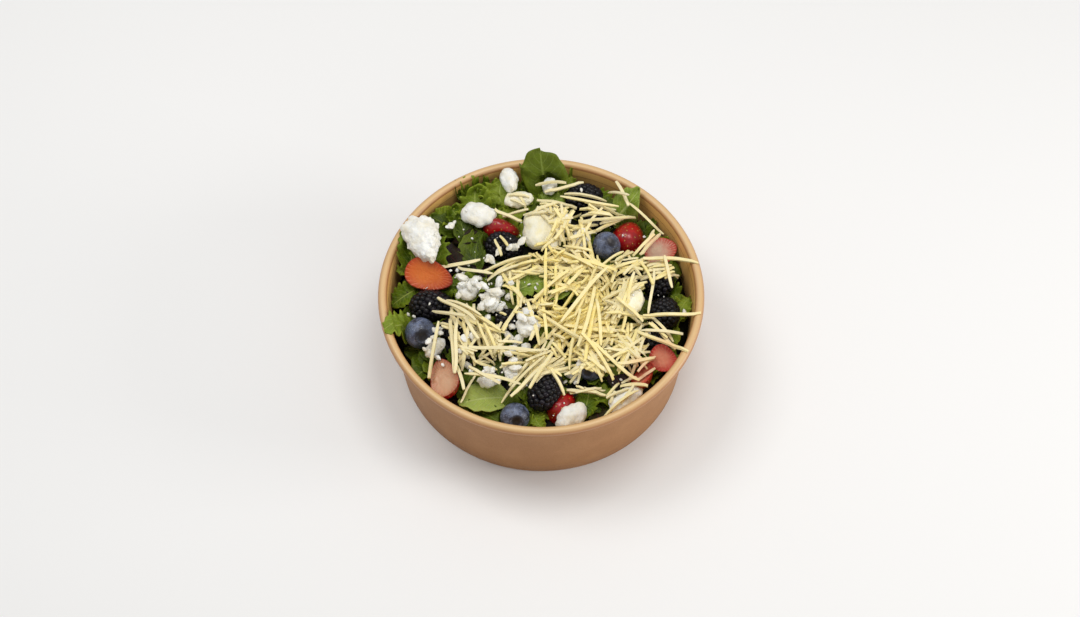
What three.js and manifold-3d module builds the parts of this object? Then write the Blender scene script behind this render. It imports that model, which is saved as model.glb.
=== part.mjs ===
// A round take-away paper bowl of mixed leaves, topped with bramble berries, blueberries, cut strawberries,
// crumbled feta and a loose pile of cheese shreds.
// Millimetres, +Z up, +X to the right of the eater and +Y away. The origin is the middle of the foot.
import * as THREE from 'three';
import { mergeVertices } from 'three/addons/utils/BufferGeometryUtils.js';
import Module from 'manifold-3d';

const wasm = await Module();
wasm.setup();

// ---------- driving dimensions ----------

const GAP = 0.35; // air left between two pieces that touch

const bowl = {
  rimRadius: 82.5, // over the rolled rim
  height: 57,
  rollRadius: 2.3,
  wall: 0.8,
  footRadius: 73.5,
  footWidth: 2.2, // three layers of board, folded together
  recess: 5, // the base disc hangs this far above the table
  disc: 0.8,
  sides: 48,
  rollSteps: 7,
};

const heap = {
  middle: 51, // height of the leaves at the bowl's axis
  edge: 40, // and where they meet the wall
  backLift: 0.055, // they lie higher at the back
  shoulder: 6, // rounds off beside the wall
  lumps: 1.3,
  sides: 30,
  rings: [0, 12, 24, 35, 46, 57, 66],
};

// Shreds up to "stiff" long are straight, and longer ones bow sideways.
const shredSize = { width: 2.1, thick: 1.5, shortest: 17, longest: 33, bow: 1.6, stiff: 24 };
const shredPile = {
  count: 64,
  tries: 4000,
  seed: 11,
  sink: 0.7, // into the layer below
  settle: 1.05, // into another shred
  bite: 0.2, // the least volume shared with the pile
  highest: 5, // above the pile's own height
  steepest: 0.36,
  margin: 0.8, // pile heights where shreds begin
  full: 3.2, // and from where they lie close
  looseTop: 1.4, // the share of a hill's height that single shreds make up
  base: 30,
  rings: [0, 10, 20, 30, 40, 50, 60, 66],
  hills: [
    { at: [18, -4], spread: [30, 33], height: 6.5 },
    { at: [6, 34], spread: [20, 18], height: 4.2 },
    { at: [-34, -20], spread: [17, 18], height: 4.2 },
    { at: [-6, -36], spread: [20, 13], height: 3.8 },
    { at: [34, 48], spread: [17, 11], height: 2 },
    { at: [60, 4], spread: [14, 26], height: 2.2 },
    { at: [44, -36], spread: [16, 12], height: 2 },
  ],
};

const leafShape = {
  thick: 0.9,
  along: 4,
  across: 2,
  stem: 0.25, // of the full width
  cup: 0.1, // how far the sides curl up, of the width
  rootDepth: 2.5, // where it grows out of the heap
};

const bramble = { columns: 10, rows: 8, relief: 0.22, taper: 0.12 };
const feta = { square: 0.86, crag: 0.26 };

const colours = {
  kraft: { color: 0xa27a57, roughness: 0.75 },
  leaf: { color: 0x4f6f1c, roughness: 0.55 },
  shred: { color: 0xf0dfa0, roughness: 0.6 },
  bramble: { color: 0x141118, roughness: 0.3 },
  blueberry: { color: 0x2c3450, roughness: 0.55 },
  strawberry: { color: 0xb01218, roughness: 0.3 },
  feta: { color: 0xf3f0e4, roughness: 0.85 },
};

// Where each piece lies. "at" is its middle, "radii" half its length, width and height, "turn" its heading
// in degrees from +X, "tip" how far its far end leans down.
const brambles = [
  { at: [-56, -3, 47], radii: [11.5, 8.5, 8.5], turn: 8, tip: 4 },
  { at: [-42.5, -17, 46.5], radii: [8.5, 7.8, 7.8], turn: 60, tip: 10 },
  { at: [-19, 30.5, 50], radii: [10.5, 8, 8], turn: -14, tip: 0 },
  { at: [22.5, 61.5, 50.5], radii: [10, 8, 8], turn: 4, tip: -6 },
  { at: [60, 11.5, 47], radii: [10, 8.5, 8.5], turn: 100, tip: 8 },
  { at: [62.5, -7, 46], radii: [9.5, 8.5, 8.5], turn: 78, tip: 6 },
  { at: [2, -52.5, 47], radii: [12, 8.3, 8.3], turn: 58, tip: -8 },
  { at: [28, 48.5, 49.5], radii: [8, 7.2, 7.2], turn: 30, tip: 0 },
  { at: [45, 16, 49], radii: [7.8, 7, 7], turn: 110, tip: 12 },
  { at: [58, -23, 45.5], radii: [7.8, 7, 7], turn: 15, tip: 0 },
  { at: [44.5, -31, 46], radii: [7, 6.5, 6.5], turn: 70, tip: 0 },
  { at: [-16.5, -13, 49], radii: [6.8, 6.2, 6.2], turn: 20, tip: 0 },
];

const blueberries = [
  { at: [33.5, 29.5, 52.5], radius: 7.5, turn: 330, tip: -60 },
  { at: [-61, -19.5, 47], radius: 8.2, turn: 290, tip: -42 },
  { at: [-13, -66, 43.5], radius: 7.4, turn: 280, tip: -38 },
  { at: [24.5, -40, 47], radius: 6.5, turn: 250, tip: -30 },
];

// Halves lie with the cut face turned up by "roll".
const strawberries = [
  { at: [45.5, 40, 46.8], radii: [11, 10, 7], turn: 75, roll: 180, tip: 0 },
  { at: [61, 30.5, 46], radii: [8.5, 6.5, 5.5], turn: 20, roll: 35, tip: 0 },
  { at: [-20.5, 43, 50], radii: [10, 6, 6], turn: -8, roll: 170, tip: 0 },
  { at: [-56.5, 13.5, 48.5], radii: [12.5, 7.5, 7], turn: -12, roll: 25, tip: 0 },
  { at: [-47, -45.5, 44.5], radii: [10.5, 7.2, 6], turn: 105, roll: -20, tip: 0 },
  { at: [10.5, -57, 41.5], radii: [9.5, 6.5, 5], turn: 52, roll: 180, tip: 0 },
  { at: [63, -33.5, 45], radii: [8, 6, 5], turn: -30, roll: 30, tip: 0 },
  { at: [52.5, -44, 43.5], radii: [7.5, 5, 4.5], turn: 60, roll: -30, tip: 0 },
];

const fetas = [
  { at: [-62, 29, 60], radii: [11.5, 15.5, 8.5], turn: 12, detail: 2 },
  { at: [-32, 47.5, 54.5], radii: [10.5, 8, 6.5], turn: -20, detail: 1 },
  { at: [-17, 67.5, 56.5], radii: [6, 8.5, 5], turn: 10, detail: 1 },
  { at: [4.5, 65.5, 54], radii: [5, 6, 5], turn: 0, detail: 1 },
  { at: [-11, 56.5, 54.5], radii: [8.5, 5.5, 5], turn: 10, detail: 1 },
  { at: [2, 39, 54.5], radii: [14, 14, 8], turn: 15, detail: 2 },
  { at: [-37, 3.5, 52], radii: [6.5, 8, 4.5], turn: 0, detail: 1 },
  { at: [-25.5, -4.5, 53], radii: [6, 7, 5], turn: -10, detail: 1 },
  { at: [-7, -19.5, 54.5], radii: [7.5, 7.5, 5], turn: 0, detail: 1 },
  { at: [-53, -29, 48], radii: [4.5, 7.5, 4], turn: -35, detail: 1 },
  { at: [-37.5, -31, 50], radii: [5, 6, 4], turn: 0, detail: 1 },
  { at: [-13.5, -43.5, 50], radii: [6, 7, 4.5], turn: 20, detail: 1 },
  { at: [-27, -47, 47.5], radii: [6.5, 5, 4], turn: 10, detail: 1 },
  { at: [15.5, -65, 43], radii: [10.5, 6, 5.5], turn: 43, detail: 1 },
  { at: [42, -55, 43.5], radii: [11.5, 5.5, 5], turn: 43, detail: 1 },
  { at: [45.5, -5.5, 54], radii: [7.5, 10, 6.5], turn: -15, detail: 1 },
  { at: [20.5, 33.5, 54], radii: [6, 7.5, 4.5], turn: 10, detail: 1 },
];

// Leaves grow out of the heap at "from". "rise" is how steeply they start, "bend" how far they bow over.
const leaves = [
  { from: [0, 58], turn: 88, length: 29, width: 25, rise: 66, bend: 24, ruffle: 0.8 },
  { from: [-20, 53], turn: 100, length: 23, width: 21, rise: 42, bend: 30, ruffle: 2.2 },
  { from: [-33, 44], turn: 122, length: 25, width: 20, rise: 38, bend: 30, ruffle: 2.2 },
  { from: [-38, 33], turn: 112, length: 20, width: 11, rise: 30, bend: 30, ruffle: 1.2 },
  { from: [36, 49], turn: 28, length: 24, width: 15, rise: 50, bend: 20, ruffle: 1.0 },
  { from: [15, 57], turn: 76, length: 18, width: 10, rise: 60, bend: 30, ruffle: 1.2 },
  { from: [-62, -12], turn: 206, length: 28, width: 15, rise: 58, bend: 40, ruffle: 1.4 },
  { from: [-50, -32], turn: 214, length: 22, width: 17, rise: 24, bend: 20, ruffle: 1.6 },
  { from: [-15, -53], turn: 188, length: 27, width: 17, rise: 24, bend: 36, ruffle: 1.2 },
  { from: [-20, -59], turn: 222, length: 15, width: 11, rise: 26, bend: 40, ruffle: 1.2 },
  { from: [-4, -60], turn: 276, length: 14, width: 9, rise: 30, bend: 30, ruffle: 1.4 },
  { from: [67, -9], turn: 272, length: 24, width: 9, rise: 16, bend: 26, ruffle: 1.6 },
  { from: [-33, 15], turn: 96, length: 21, width: 12, rise: 22, bend: 20, ruffle: 1.0 },
  { from: [24, -50], turn: 342, length: 17, width: 10, rise: 26, bend: 30, ruffle: 1.2 },
  { from: [-33, -32], turn: 262, length: 18, width: 11, rise: 20, bend: 20, ruffle: 1.4 },
  { from: [50, 43], turn: 14, length: 13, width: 9, rise: 36, bend: 20, ruffle: 0.8 },
  { from: [-64, 4], turn: 98, length: 20, width: 11, rise: 24, bend: 20, ruffle: 1.0 },
  { from: [-40, 22], turn: 160, length: 19, width: 13, rise: 30, bend: 30, ruffle: 1.0 },
  { from: [-42, 40], turn: 146, length: 19, width: 13, rise: 32, bend: 24, ruffle: 1.2 },
  { from: [-40, -53], turn: 196, length: 16, width: 10, rise: 28, bend: 30, ruffle: 1.0 },
  { from: [66, 22], turn: 250, length: 13, width: 9, rise: 20, bend: 24, ruffle: 1.0 },
];

// ---------- small helpers ----------

const radians = THREE.MathUtils.degToRad;

// A repeatable stream of numbers from 0 to 1.
function randomStream(seed) {
  let state = seed >>> 0;
  return () => {
    state = (state + 0x6d2b79f5) >>> 0;
    let mixed = Math.imul(state ^ (state >>> 15), state | 1);
    mixed ^= mixed + Math.imul(mixed ^ (mixed >>> 7), mixed | 61);
    return ((mixed ^ (mixed >>> 14)) >>> 0) / 4294967296;
  };
}

function bare(geometry) {
  for (const name of ['normal', 'uv']) geometry.deleteAttribute(name);
  return mergeVertices(geometry, 1e-4);
}

function eachVertex(geometry, move) {
  const position = geometry.attributes.position;
  const point = new THREE.Vector3();
  for (let i = 0; i < position.count; i++) {
    move(point.fromBufferAttribute(position, i), i);
    position.setXYZ(i, point.x, point.y, point.z);
  }
  return geometry;
}

function solidOf(geometry) {
  const merged = bare(geometry.clone());
  return new wasm.Manifold(
    new wasm.Mesh({
      numProp: 3,
      vertProperties: new Float32Array(merged.attributes.position.array),
      triVerts: new Uint32Array(merged.index.array),
    }),
  );
}

function geometryOf(solid) {
  const mesh = solid.getMesh();
  return new THREE.BufferGeometry()
    .setAttribute('position', new THREE.BufferAttribute(mesh.vertProperties, 3))
    .setIndex(new THREE.BufferAttribute(mesh.triVerts, 1));
}

const joined = (solids) => solids.reduce((whole, piece) => whole.add(piece));

// The largest body of a solid that cutting has left in several.
function mainBody(solid) {
  return solid.decompose().reduce((best, body) => (body.volume() > best.volume() ? body : best));
}

// Drops vertices that the shape hardly needs, and what comes loose once numbers are rounded for the mesh.
function finished(solid) {
  const thinned = solid.asOriginal().simplify(0.15);
  return mainBody(solidOf(geometryOf(thinned)));
}

// A closed shape turned round the Z axis from (radius, height) pairs.
function turned(profile, sides) {
  const points = profile.map(([radius, height]) => new THREE.Vector2(radius, height));
  return new THREE.LatheGeometry(points, sides).rotateX(Math.PI / 2);
}

const halfSizes = ({ radii, radius }) => radii ?? [radius, radius, radius];

// Turns a piece about its own middle and moves it to its place.
function placement({ at, turn = 0, tip = 0, roll = 0 }) {
  const heading = new THREE.Euler(radians(roll), radians(tip), radians(turn), 'ZYX');
  return new THREE.Matrix4().makeRotationFromEuler(heading).setPosition(...at);
}

// ---------- bowl ----------

const rollCentre = [bowl.rimRadius - bowl.rollRadius, bowl.height - bowl.rollRadius];
const innerTop = rollCentre[0] - bowl.rollRadius;
const wallSlope = (innerTop + bowl.wall - bowl.footRadius) / rollCentre[1];
const innerRadius = (z) => bowl.footRadius - bowl.wall + wallSlope * Math.min(z, rollCentre[1]);
const discTop = bowl.recess + bowl.disc;

function bowlGeometry() {
  const footInner = bowl.footRadius - bowl.footWidth;
  const roll = [];
  const [start, sweep] = [radians(-135), radians(315)];
  for (let i = 0; i <= bowl.rollSteps; i++) {
    const angle = start + (sweep * i) / bowl.rollSteps;
    roll.push([
      rollCentre[0] + bowl.rollRadius * Math.cos(angle),
      rollCentre[1] + bowl.rollRadius * Math.sin(angle),
    ]);
  }
  return turned(
    [
      [0, bowl.recess],
      [footInner, bowl.recess],
      [footInner, 0],
      [bowl.footRadius, 0],
      ...roll,
      [innerRadius(discTop), discTop],
      [0, discTop],
    ],
    bowl.sides,
  );
}

// The room that food may fill: the bowl's inside, and the air over the rim.
function foodRoom() {
  const over = bowl.height + GAP;
  return solidOf(
    turned(
      [
        [0, discTop + GAP],
        [innerRadius(discTop) - GAP, discTop + GAP],
        [innerTop - GAP, rollCentre[1]],
        [innerTop - GAP, over],
        [bowl.rimRadius, over],
        [bowl.rimRadius, 2 * bowl.height],
        [0, 2 * bowl.height],
      ],
      bowl.sides,
    ),
  );
}

// ---------- leaves ----------

function heapTop(x, y) {
  const reach = Math.hypot(x, y) / innerTop;
  const dome = heap.edge + (heap.middle - heap.edge) * (1 - reach ** 2);
  const lumps = heap.lumps * Math.sin(x / 9 + 1) * Math.cos(y / 11 - 0.5);
  return dome + heap.backLift * y + lumps - heap.shoulder * reach ** 12;
}

function heapCore() {
  const edge = innerRadius(heap.edge) - GAP;
  const top = [...heap.rings, edge].reverse();
  const floor = discTop + GAP;
  const profile = [[0, floor], [innerRadius(floor) - GAP, floor], ...top.map((r) => [r, heap.edge])];
  return eachVertex(turned(profile, heap.sides), (point) => {
    if (point.z > heap.edge - 1) point.z = heapTop(point.x, point.y);
  });
}

// A thin wavy leaf along +X, made larger all round by "air" where it stands for the room it needs.
// Both faces share one grid, so that they are split alike.
function leafGeometry({ length, width, rise, bend, ruffle }, air) {
  const { thick, along, across, stem, cup } = leafShape;
  const middle = [];
  let [x, z] = [0, 0];
  for (let i = 0; i <= along; i++) {
    const slope = radians(rise - (bend * (i + 0.5)) / along);
    const beyond = i === along ? air : 0;
    middle.push([x + beyond * Math.cos(slope), z + beyond * Math.sin(slope)]);
    x += (length / along) * Math.cos(slope);
    z += (length / along) * Math.sin(slope);
  }
  const points = [];
  for (const side of [1, -1]) {
    for (let i = 0; i <= along; i++) {
      const swell = Math.sin(Math.PI * (0.12 + 0.78 * (i / along)));
      const half = air + (width / 2) * (stem + (1 - stem) * swell);
      for (let j = 0; j <= across; j++) {
        const v = (2 * j) / across - 1;
        const wave = ruffle * Math.abs(v) * Math.sin(i * 2.2 + j * 1.3) + cup * width * v * v;
        points.push(middle[i][0], v * half, middle[i][1] + wave + side * (thick / 2 + air));
      }
    }
  }
  const row = across + 1;
  const face = row * (along + 1);
  const index = [];
  const quad = (a, b, c, d) => index.push(a, b, c, a, c, d);
  for (let i = 0; i < along; i++) {
    for (let j = 0; j < across; j++) {
      const a = i * row + j;
      quad(a, a + row, a + row + 1, a + 1);
      quad(face + a, face + a + 1, face + a + row + 1, face + a + row);
    }
  }
  for (let i = 0; i < along; i++) {
    const [near, far] = [i * row, i * row + across];
    quad(near, near + face, near + row + face, near + row);
    quad(far, far + row, far + row + face, far + face);
  }
  for (let j = 0; j < across; j++) {
    const tip = along * row + j;
    quad(j, j + 1, j + 1 + face, j + face);
    quad(tip, tip + face, tip + 1 + face, tip + 1);
  }
  const geometry = new THREE.BufferGeometry();
  geometry.setAttribute('position', new THREE.Float32BufferAttribute(points, 3));
  return geometry.setIndex(index);
}

function leafSolid(leaf, air) {
  const [x, y] = leaf.from;
  const spot = placement({ at: [x, y, heapTop(x, y) - leafShape.rootDepth], turn: leaf.turn });
  return solidOf(leafGeometry(leaf, air).applyMatrix4(spot));
}

// The core and its leaves, and "air" over and round them.
function heapSolid(air) {
  const core = solidOf(heapCore()).translate([0, 0, air]);
  return joined([core, ...leaves.map((leaf) => leafSolid(leaf, air))]);
}

// ---------- fruit and cheese ----------

// A berry of drupelets: a ball whose grid points stand out by turns.
function brambleGeometry({ radii }) {
  const { columns, rows, relief, taper } = bramble;
  const ball = new THREE.SphereGeometry(1, columns, rows).rotateZ(Math.PI / 2);
  const around = columns + 1;
  eachVertex(ball, (point, i) => {
    const [row, column] = [Math.floor(i / around), (i % around) % columns];
    const pole = row === 0 || row === rows;
    const out = pole || (row + column) % 2 === 0 ? 1 : 1 - relief;
    const round = out * (1 - taper * point.x);
    point.set(point.x * out * radii[0], point.y * round * radii[1], point.z * round * radii[2]);
  });
  return bare(ball);
}

// A slightly flattened ball with a five-pointed crown round a shallow pit, facing +X.
function blueberryGeometry({ radius }) {
  const profile = [
    [0, -0.92],
    [0.5, -0.78],
    [0.87, -0.42],
    [1, 0.02],
    [0.9, 0.44],
    [0.6, 0.76],
    [0.44, 0.9],
    [0.3, 0.72],
    [0, 0.68],
  ];
  const crownRow = 6;
  const shape = turned(profile, 10);
  eachVertex(shape, (point, i) => {
    const [row, column] = [i % profile.length, Math.floor(i / profile.length)];
    if (row === crownRow && column % 2 === 1) point.set(point.x * 0.78, point.y * 0.78, point.z - 0.08);
  });
  return bare(shape.rotateY(Math.PI / 2).scale(radius, radius, radius));
}

// Half a strawberry, its tip along +X and its cut face up.
function strawberryGeometry({ radii }) {
  const profile = [
    [0, -0.82],
    [0.45, -0.98],
    [0.86, -0.72],
    [1, -0.3],
    [0.86, 0.2],
    [0.52, 0.72],
    [0, 1],
  ];
  const body = bare(turned(profile, 12).rotateY(Math.PI / 2));
  const upper = new THREE.BoxGeometry(4, 4, 4).translate(0, 0, 2);
  const half = solidOf(body).subtract(solidOf(upper));
  const middle = 0.5;
  return geometryOf(half).translate(0, 0, middle).scale(radii[0], radii[1], 2 * radii[2]);
}

// A broken lump of cheese: a squared-off ball with a craggy face.
function fetaGeometry({ radii, detail, turn }) {
  const random = randomStream(Math.round(1000 + 10 * radii[0] + turn));
  const ball = bare(new THREE.IcosahedronGeometry(1, detail));
  const square = (value) => Math.sign(value) * Math.abs(value) ** feta.square;
  eachVertex(ball, (point) => {
    point.set(square(point.x), square(point.y), square(point.z));
    point.multiplyScalar(1 - feta.crag * random()).multiply(new THREE.Vector3(...radii));
  });
  return ball;
}

// The room round a piece that its neighbours keep out of: a block with its corners cut off, whose
// fourteen flat sides each just clear the piece.
function keepOut(piece, geometry) {
  const half = new THREE.Vector3(...halfSizes(piece));
  const corners = geometry.attributes.position;
  const corner = new THREE.Vector3();
  const signs = [-1, 0, 1];
  const sides = signs.flatMap((x) => signs.flatMap((y) => signs.map((z) => new THREE.Vector3(x, y, z))));
  let zone = solidOf(new THREE.BoxGeometry(99, 99, 99));
  for (const side of sides.filter((s) => s.lengthSq() % 2 === 1)) {
    const normal = side.divide(half).normalize();
    let reach = 0;
    for (let i = 0; i < corners.count; i++) {
      reach = Math.max(reach, normal.dot(corner.fromBufferAttribute(corners, i)));
    }
    zone = zone.trimByPlane(normal.negate().toArray(), -reach - GAP);
  }
  return solidOf(geometryOf(zone).applyMatrix4(placement(piece)));
}

// ---------- cheese shreds ----------

function pileHeight(x, y) {
  const heights = shredPile.hills.map(({ at, spread, height }) => {
    return height * Math.exp(-(((x - at[0]) / spread[0]) ** 2) - ((y - at[1]) / spread[1]) ** 2);
  });
  return Math.max(...heights);
}

function pileCore() {
  const { base, rings, looseTop } = shredPile;
  const top = [...rings].reverse().map((r) => [r, heap.middle]);
  return eachVertex(turned([[0, base], [top[0][0], base], ...top], heap.sides), (point) => {
    if (point.z < base + 1) return;
    point.z = heapTop(point.x, point.y) + pileHeight(point.x, point.y) - looseTop;
  });
}

// The highest surface under each square millimetre, so that a shred can be laid on it.
class Skyline {
  constructor(half) {
    this.half = half;
    this.side = 2 * half + 1;
    this.heights = new Float32Array(this.side ** 2).fill(discTop);
  }

  raise(solid, offset) {
    const { vertProperties: v, triVerts } = solid.getMesh();
    for (let t = 0; t < triVerts.length; t += 3) {
      const [a, b, c] = [0, 1, 2].map((k) => {
        const i = 3 * triVerts[t + k];
        return new THREE.Vector3(v[i], v[i + 1], v[i + 2]);
      });
      this.raiseTriangle(a, b, c, offset);
    }
  }

  raiseTriangle(a, b, c, offset) {
    const area = (b.x - a.x) * (c.y - a.y) - (c.x - a.x) * (b.y - a.y);
    if (area < 1e-6) return; // it faces down or sideways
    const low = (...values) => Math.ceil(Math.min(...values));
    const high = (...values) => Math.floor(Math.max(...values));
    for (let x = low(a.x, b.x, c.x); x <= high(a.x, b.x, c.x); x++) {
      for (let y = low(a.y, b.y, c.y); y <= high(a.y, b.y, c.y); y++) {
        const p = ((b.x - x) * (c.y - y) - (c.x - x) * (b.y - y)) / area;
        const q = ((c.x - x) * (a.y - y) - (a.x - x) * (c.y - y)) / area;
        if (p < 0 || q < 0 || p + q > 1) continue;
        const cell = (x + this.half) * this.side + y + this.half;
        const height = p * a.z + q * b.z + (1 - p - q) * c.z + offset;
        this.heights[cell] = Math.max(this.heights[cell], height);
      }
    }
  }

  // The highest surface within a shred's half width of a point.
  over(x, y) {
    let highest = discTop;
    for (const dx of [-1, 0, 1]) {
      for (const dy of [-1, 0, 1]) {
        const [i, j] = [Math.round(x + dx) + this.half, Math.round(y + dy) + this.half];
        highest = Math.max(highest, this.heights[i * this.side + j] ?? discTop);
      }
    }
    return highest;
  }
}

// Lays a stiff shred on the skyline: it rests on one point each side of its middle.
function restingLine(skyline, x, y, heading, length) {
  const samples = [];
  for (let s = -length / 2; s <= length / 2; s += 1) {
    samples.push([s, skyline.over(x + s * Math.cos(heading), y + s * Math.sin(heading))]);
  }
  let best = { middle: -Infinity, slope: 0 };
  for (const [s, h] of samples.filter(([s]) => s < 0)) {
    for (const [t, k] of samples.filter(([t]) => t >= 0)) {
      const slope = (k - h) / (t - s);
      const middle = h - slope * s;
      if (middle > best.middle) best = { middle, slope };
    }
  }
  return best;
}

function shredSolid(x, y, heading, length, rest) {
  const { width, thick, bow, stiff } = shredSize;
  const strip = new THREE.BoxGeometry(length, width, thick, length > stiff ? 2 : 1, 1, 1);
  eachVertex(strip, (point) => {
    const along = (2 * point.x) / length;
    point.y += bow * (1 - along * along) * Math.sin(heading * 7);
  });
  const lie = new THREE.Euler(0, -Math.atan(rest.slope), heading, 'ZYX');
  const spot = new THREE.Matrix4().makeRotationFromEuler(lie).setPosition(x, y, rest.middle + thick / 2);
  return solidOf(strip.applyMatrix4(spot));
}

// Drops shreds on the pile one by one, and keeps those that touch it.
function withShreds(pile, skyline, keptFree) {
  const random = randomStream(shredPile.seed);
  const between = (low, high) => low + (high - low) * random();
  const { margin, full, highest, steepest, bite, settle } = shredPile;
  let laid = 0;
  let whole = pile;
  for (let i = 0; i < shredPile.tries && laid < shredPile.count; i++) {
    const length = between(shredSize.shortest, shredSize.longest);
    const [x, y] = [between(-innerTop, innerTop), between(-innerTop, innerTop)];
    const heading = between(0, Math.PI);
    if (pileHeight(x, y) < between(margin, full)) continue;
    const rest = restingLine(skyline, x, y, heading, length);
    const over = rest.middle - heapTop(x, y) - pileHeight(x, y);
    if (over > highest || Math.abs(rest.slope) > steepest) continue;
    const strip = mainBody(shredSolid(x, y, heading, length, rest).subtract(keptFree));
    if (strip.intersect(whole).volume() < bite) continue;
    skyline.raise(strip, -settle);
    whole = whole.add(strip);
    laid++;
  }
  return mainBody(whole);
}

// ---------- the whole salad ----------

const salad = new THREE.Group();

function add(name, geometry, look) {
  const mesh = new THREE.Mesh(geometry, new THREE.MeshStandardMaterial({ ...look, metalness: 0 }));
  mesh.name = name;
  mesh.geometry.computeVertexNormals();
  salad.add(mesh);
}

const room = foodRoom();
const zones = [];

// Adds one kind of piece, each cut back from the pieces that were there first.
function addPieces(kind, pieces, shapeOf, look) {
  pieces.forEach((piece, i) => {
    const geometry = shapeOf(piece);
    const zone = keepOut(piece, geometry);
    const whole = solidOf(geometry.applyMatrix4(placement(piece)));
    const cut = zones.reduce((solid, taken) => solid.subtract(taken), whole.intersect(room));
    zones.push(zone);
    add(kind + '_' + (i + 1), geometryOf(finished(mainBody(cut))), look);
  });
}

add('bowl', bowlGeometry(), colours.kraft);
addPieces('bramble', brambles, brambleGeometry, colours.bramble);
addPieces('blueberry', blueberries, blueberryGeometry, colours.blueberry);
addPieces('strawberry', strawberries, strawberryGeometry, colours.strawberry);
addPieces('feta', fetas, fetaGeometry, colours.feta);

const toppingRoom = joined(zones);
const greens = finished(heapSolid(0).subtract(toppingRoom).intersect(room));
add('salad_leaves', geometryOf(greens), colours.leaf);

const keptFree = toppingRoom.add(heapSolid(1.4 * GAP));
const pile = mainBody(solidOf(pileCore()).subtract(keptFree).intersect(room));
const skyline = new Skyline(90);
skyline.raise(solidOf(bowlGeometry()), GAP);
skyline.raise(keptFree, 0);
skyline.raise(pile, -shredPile.sink);
const cheese = withShreds(pile, skyline, keptFree);
add('cheese_shreds', geometryOf(finished(cheese)), colours.shred);

export default salad;
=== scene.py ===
# A bowl of mixed leaves with berries, crumbled feta and grated cheese, in a kraft paper take-away bowl.
# Metres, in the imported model's frame: +Z up, +X to the right and +Y away from the camera.
# Sizes in the dictionaries are in millimetres.
import random
import bmesh
import bpy
from math import acos, atan2, ceil, cos, degrees, dist, exp, hypot, pi, radians, sin, sqrt, tau
from mathutils import Euler, Matrix, Vector, noise
from mathutils.bvhtree import BVHTree


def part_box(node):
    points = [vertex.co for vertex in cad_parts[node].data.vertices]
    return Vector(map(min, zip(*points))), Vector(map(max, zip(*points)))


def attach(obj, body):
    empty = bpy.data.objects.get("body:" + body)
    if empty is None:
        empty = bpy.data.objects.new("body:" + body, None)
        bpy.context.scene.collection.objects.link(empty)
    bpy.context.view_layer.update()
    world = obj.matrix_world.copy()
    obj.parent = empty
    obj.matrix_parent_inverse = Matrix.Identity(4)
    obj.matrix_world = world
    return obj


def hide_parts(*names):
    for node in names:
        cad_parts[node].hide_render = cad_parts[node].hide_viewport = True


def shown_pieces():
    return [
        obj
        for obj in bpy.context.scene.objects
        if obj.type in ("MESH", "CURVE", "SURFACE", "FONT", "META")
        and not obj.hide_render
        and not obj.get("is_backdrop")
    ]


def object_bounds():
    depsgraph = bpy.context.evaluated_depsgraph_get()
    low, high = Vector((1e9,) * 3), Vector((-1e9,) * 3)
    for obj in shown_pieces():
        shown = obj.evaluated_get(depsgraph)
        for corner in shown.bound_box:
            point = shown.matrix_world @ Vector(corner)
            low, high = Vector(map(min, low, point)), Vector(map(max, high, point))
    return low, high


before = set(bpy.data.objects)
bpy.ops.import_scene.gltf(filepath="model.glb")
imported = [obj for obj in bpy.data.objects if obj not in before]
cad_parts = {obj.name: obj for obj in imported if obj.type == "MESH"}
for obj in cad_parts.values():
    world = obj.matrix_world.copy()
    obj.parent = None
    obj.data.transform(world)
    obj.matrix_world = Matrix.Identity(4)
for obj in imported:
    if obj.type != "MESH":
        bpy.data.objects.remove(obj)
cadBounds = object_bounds()
mm = 0.001
scene = bpy.context.scene
scene.view_settings.view_transform = "Standard"
print("frame loaded:", len(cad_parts), "nodes")


# shader helpers

def ink(red, green, blue):
    # a screen colour from 0 to 255 as the linear colour that a socket takes
    def linear(value):
        value /= 255
        return value / 12.92 if value <= 0.04045 else ((value + 0.055) / 1.055) ** 2.4
    return (linear(red), linear(green), linear(blue), 1)


def sums(operation):
    # a method that sums a wire and another value
    return lambda first, second=0: first.sum(operation, first, second)


class Wire:
    # an output socket that sums can be written with
    def __init__(self, paint, socket):
        self.paint = paint
        self.socket = socket

    def sum(self, operation, first, second, clamp=False):
        return self.paint.node("ShaderNodeMath", {"operation": operation, "use_clamp": clamp},
                               {0: first, 1: second})

    def __rsub__(self, other):
        return self.sum("SUBTRACT", other, self)

    __add__ = __radd__ = sums("ADD")
    __sub__ = sums("SUBTRACT")
    __mul__ = __rmul__ = sums("MULTIPLY")
    sine = sums("SINE")
    unsigned = sums("ABSOLUTE")
    orMore = sums("MAXIMUM")

    def above(self, low, high):
        # 0 below low, 1 above high
        return self.sum("DIVIDE", self - low, high - low, clamp=True)


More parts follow.
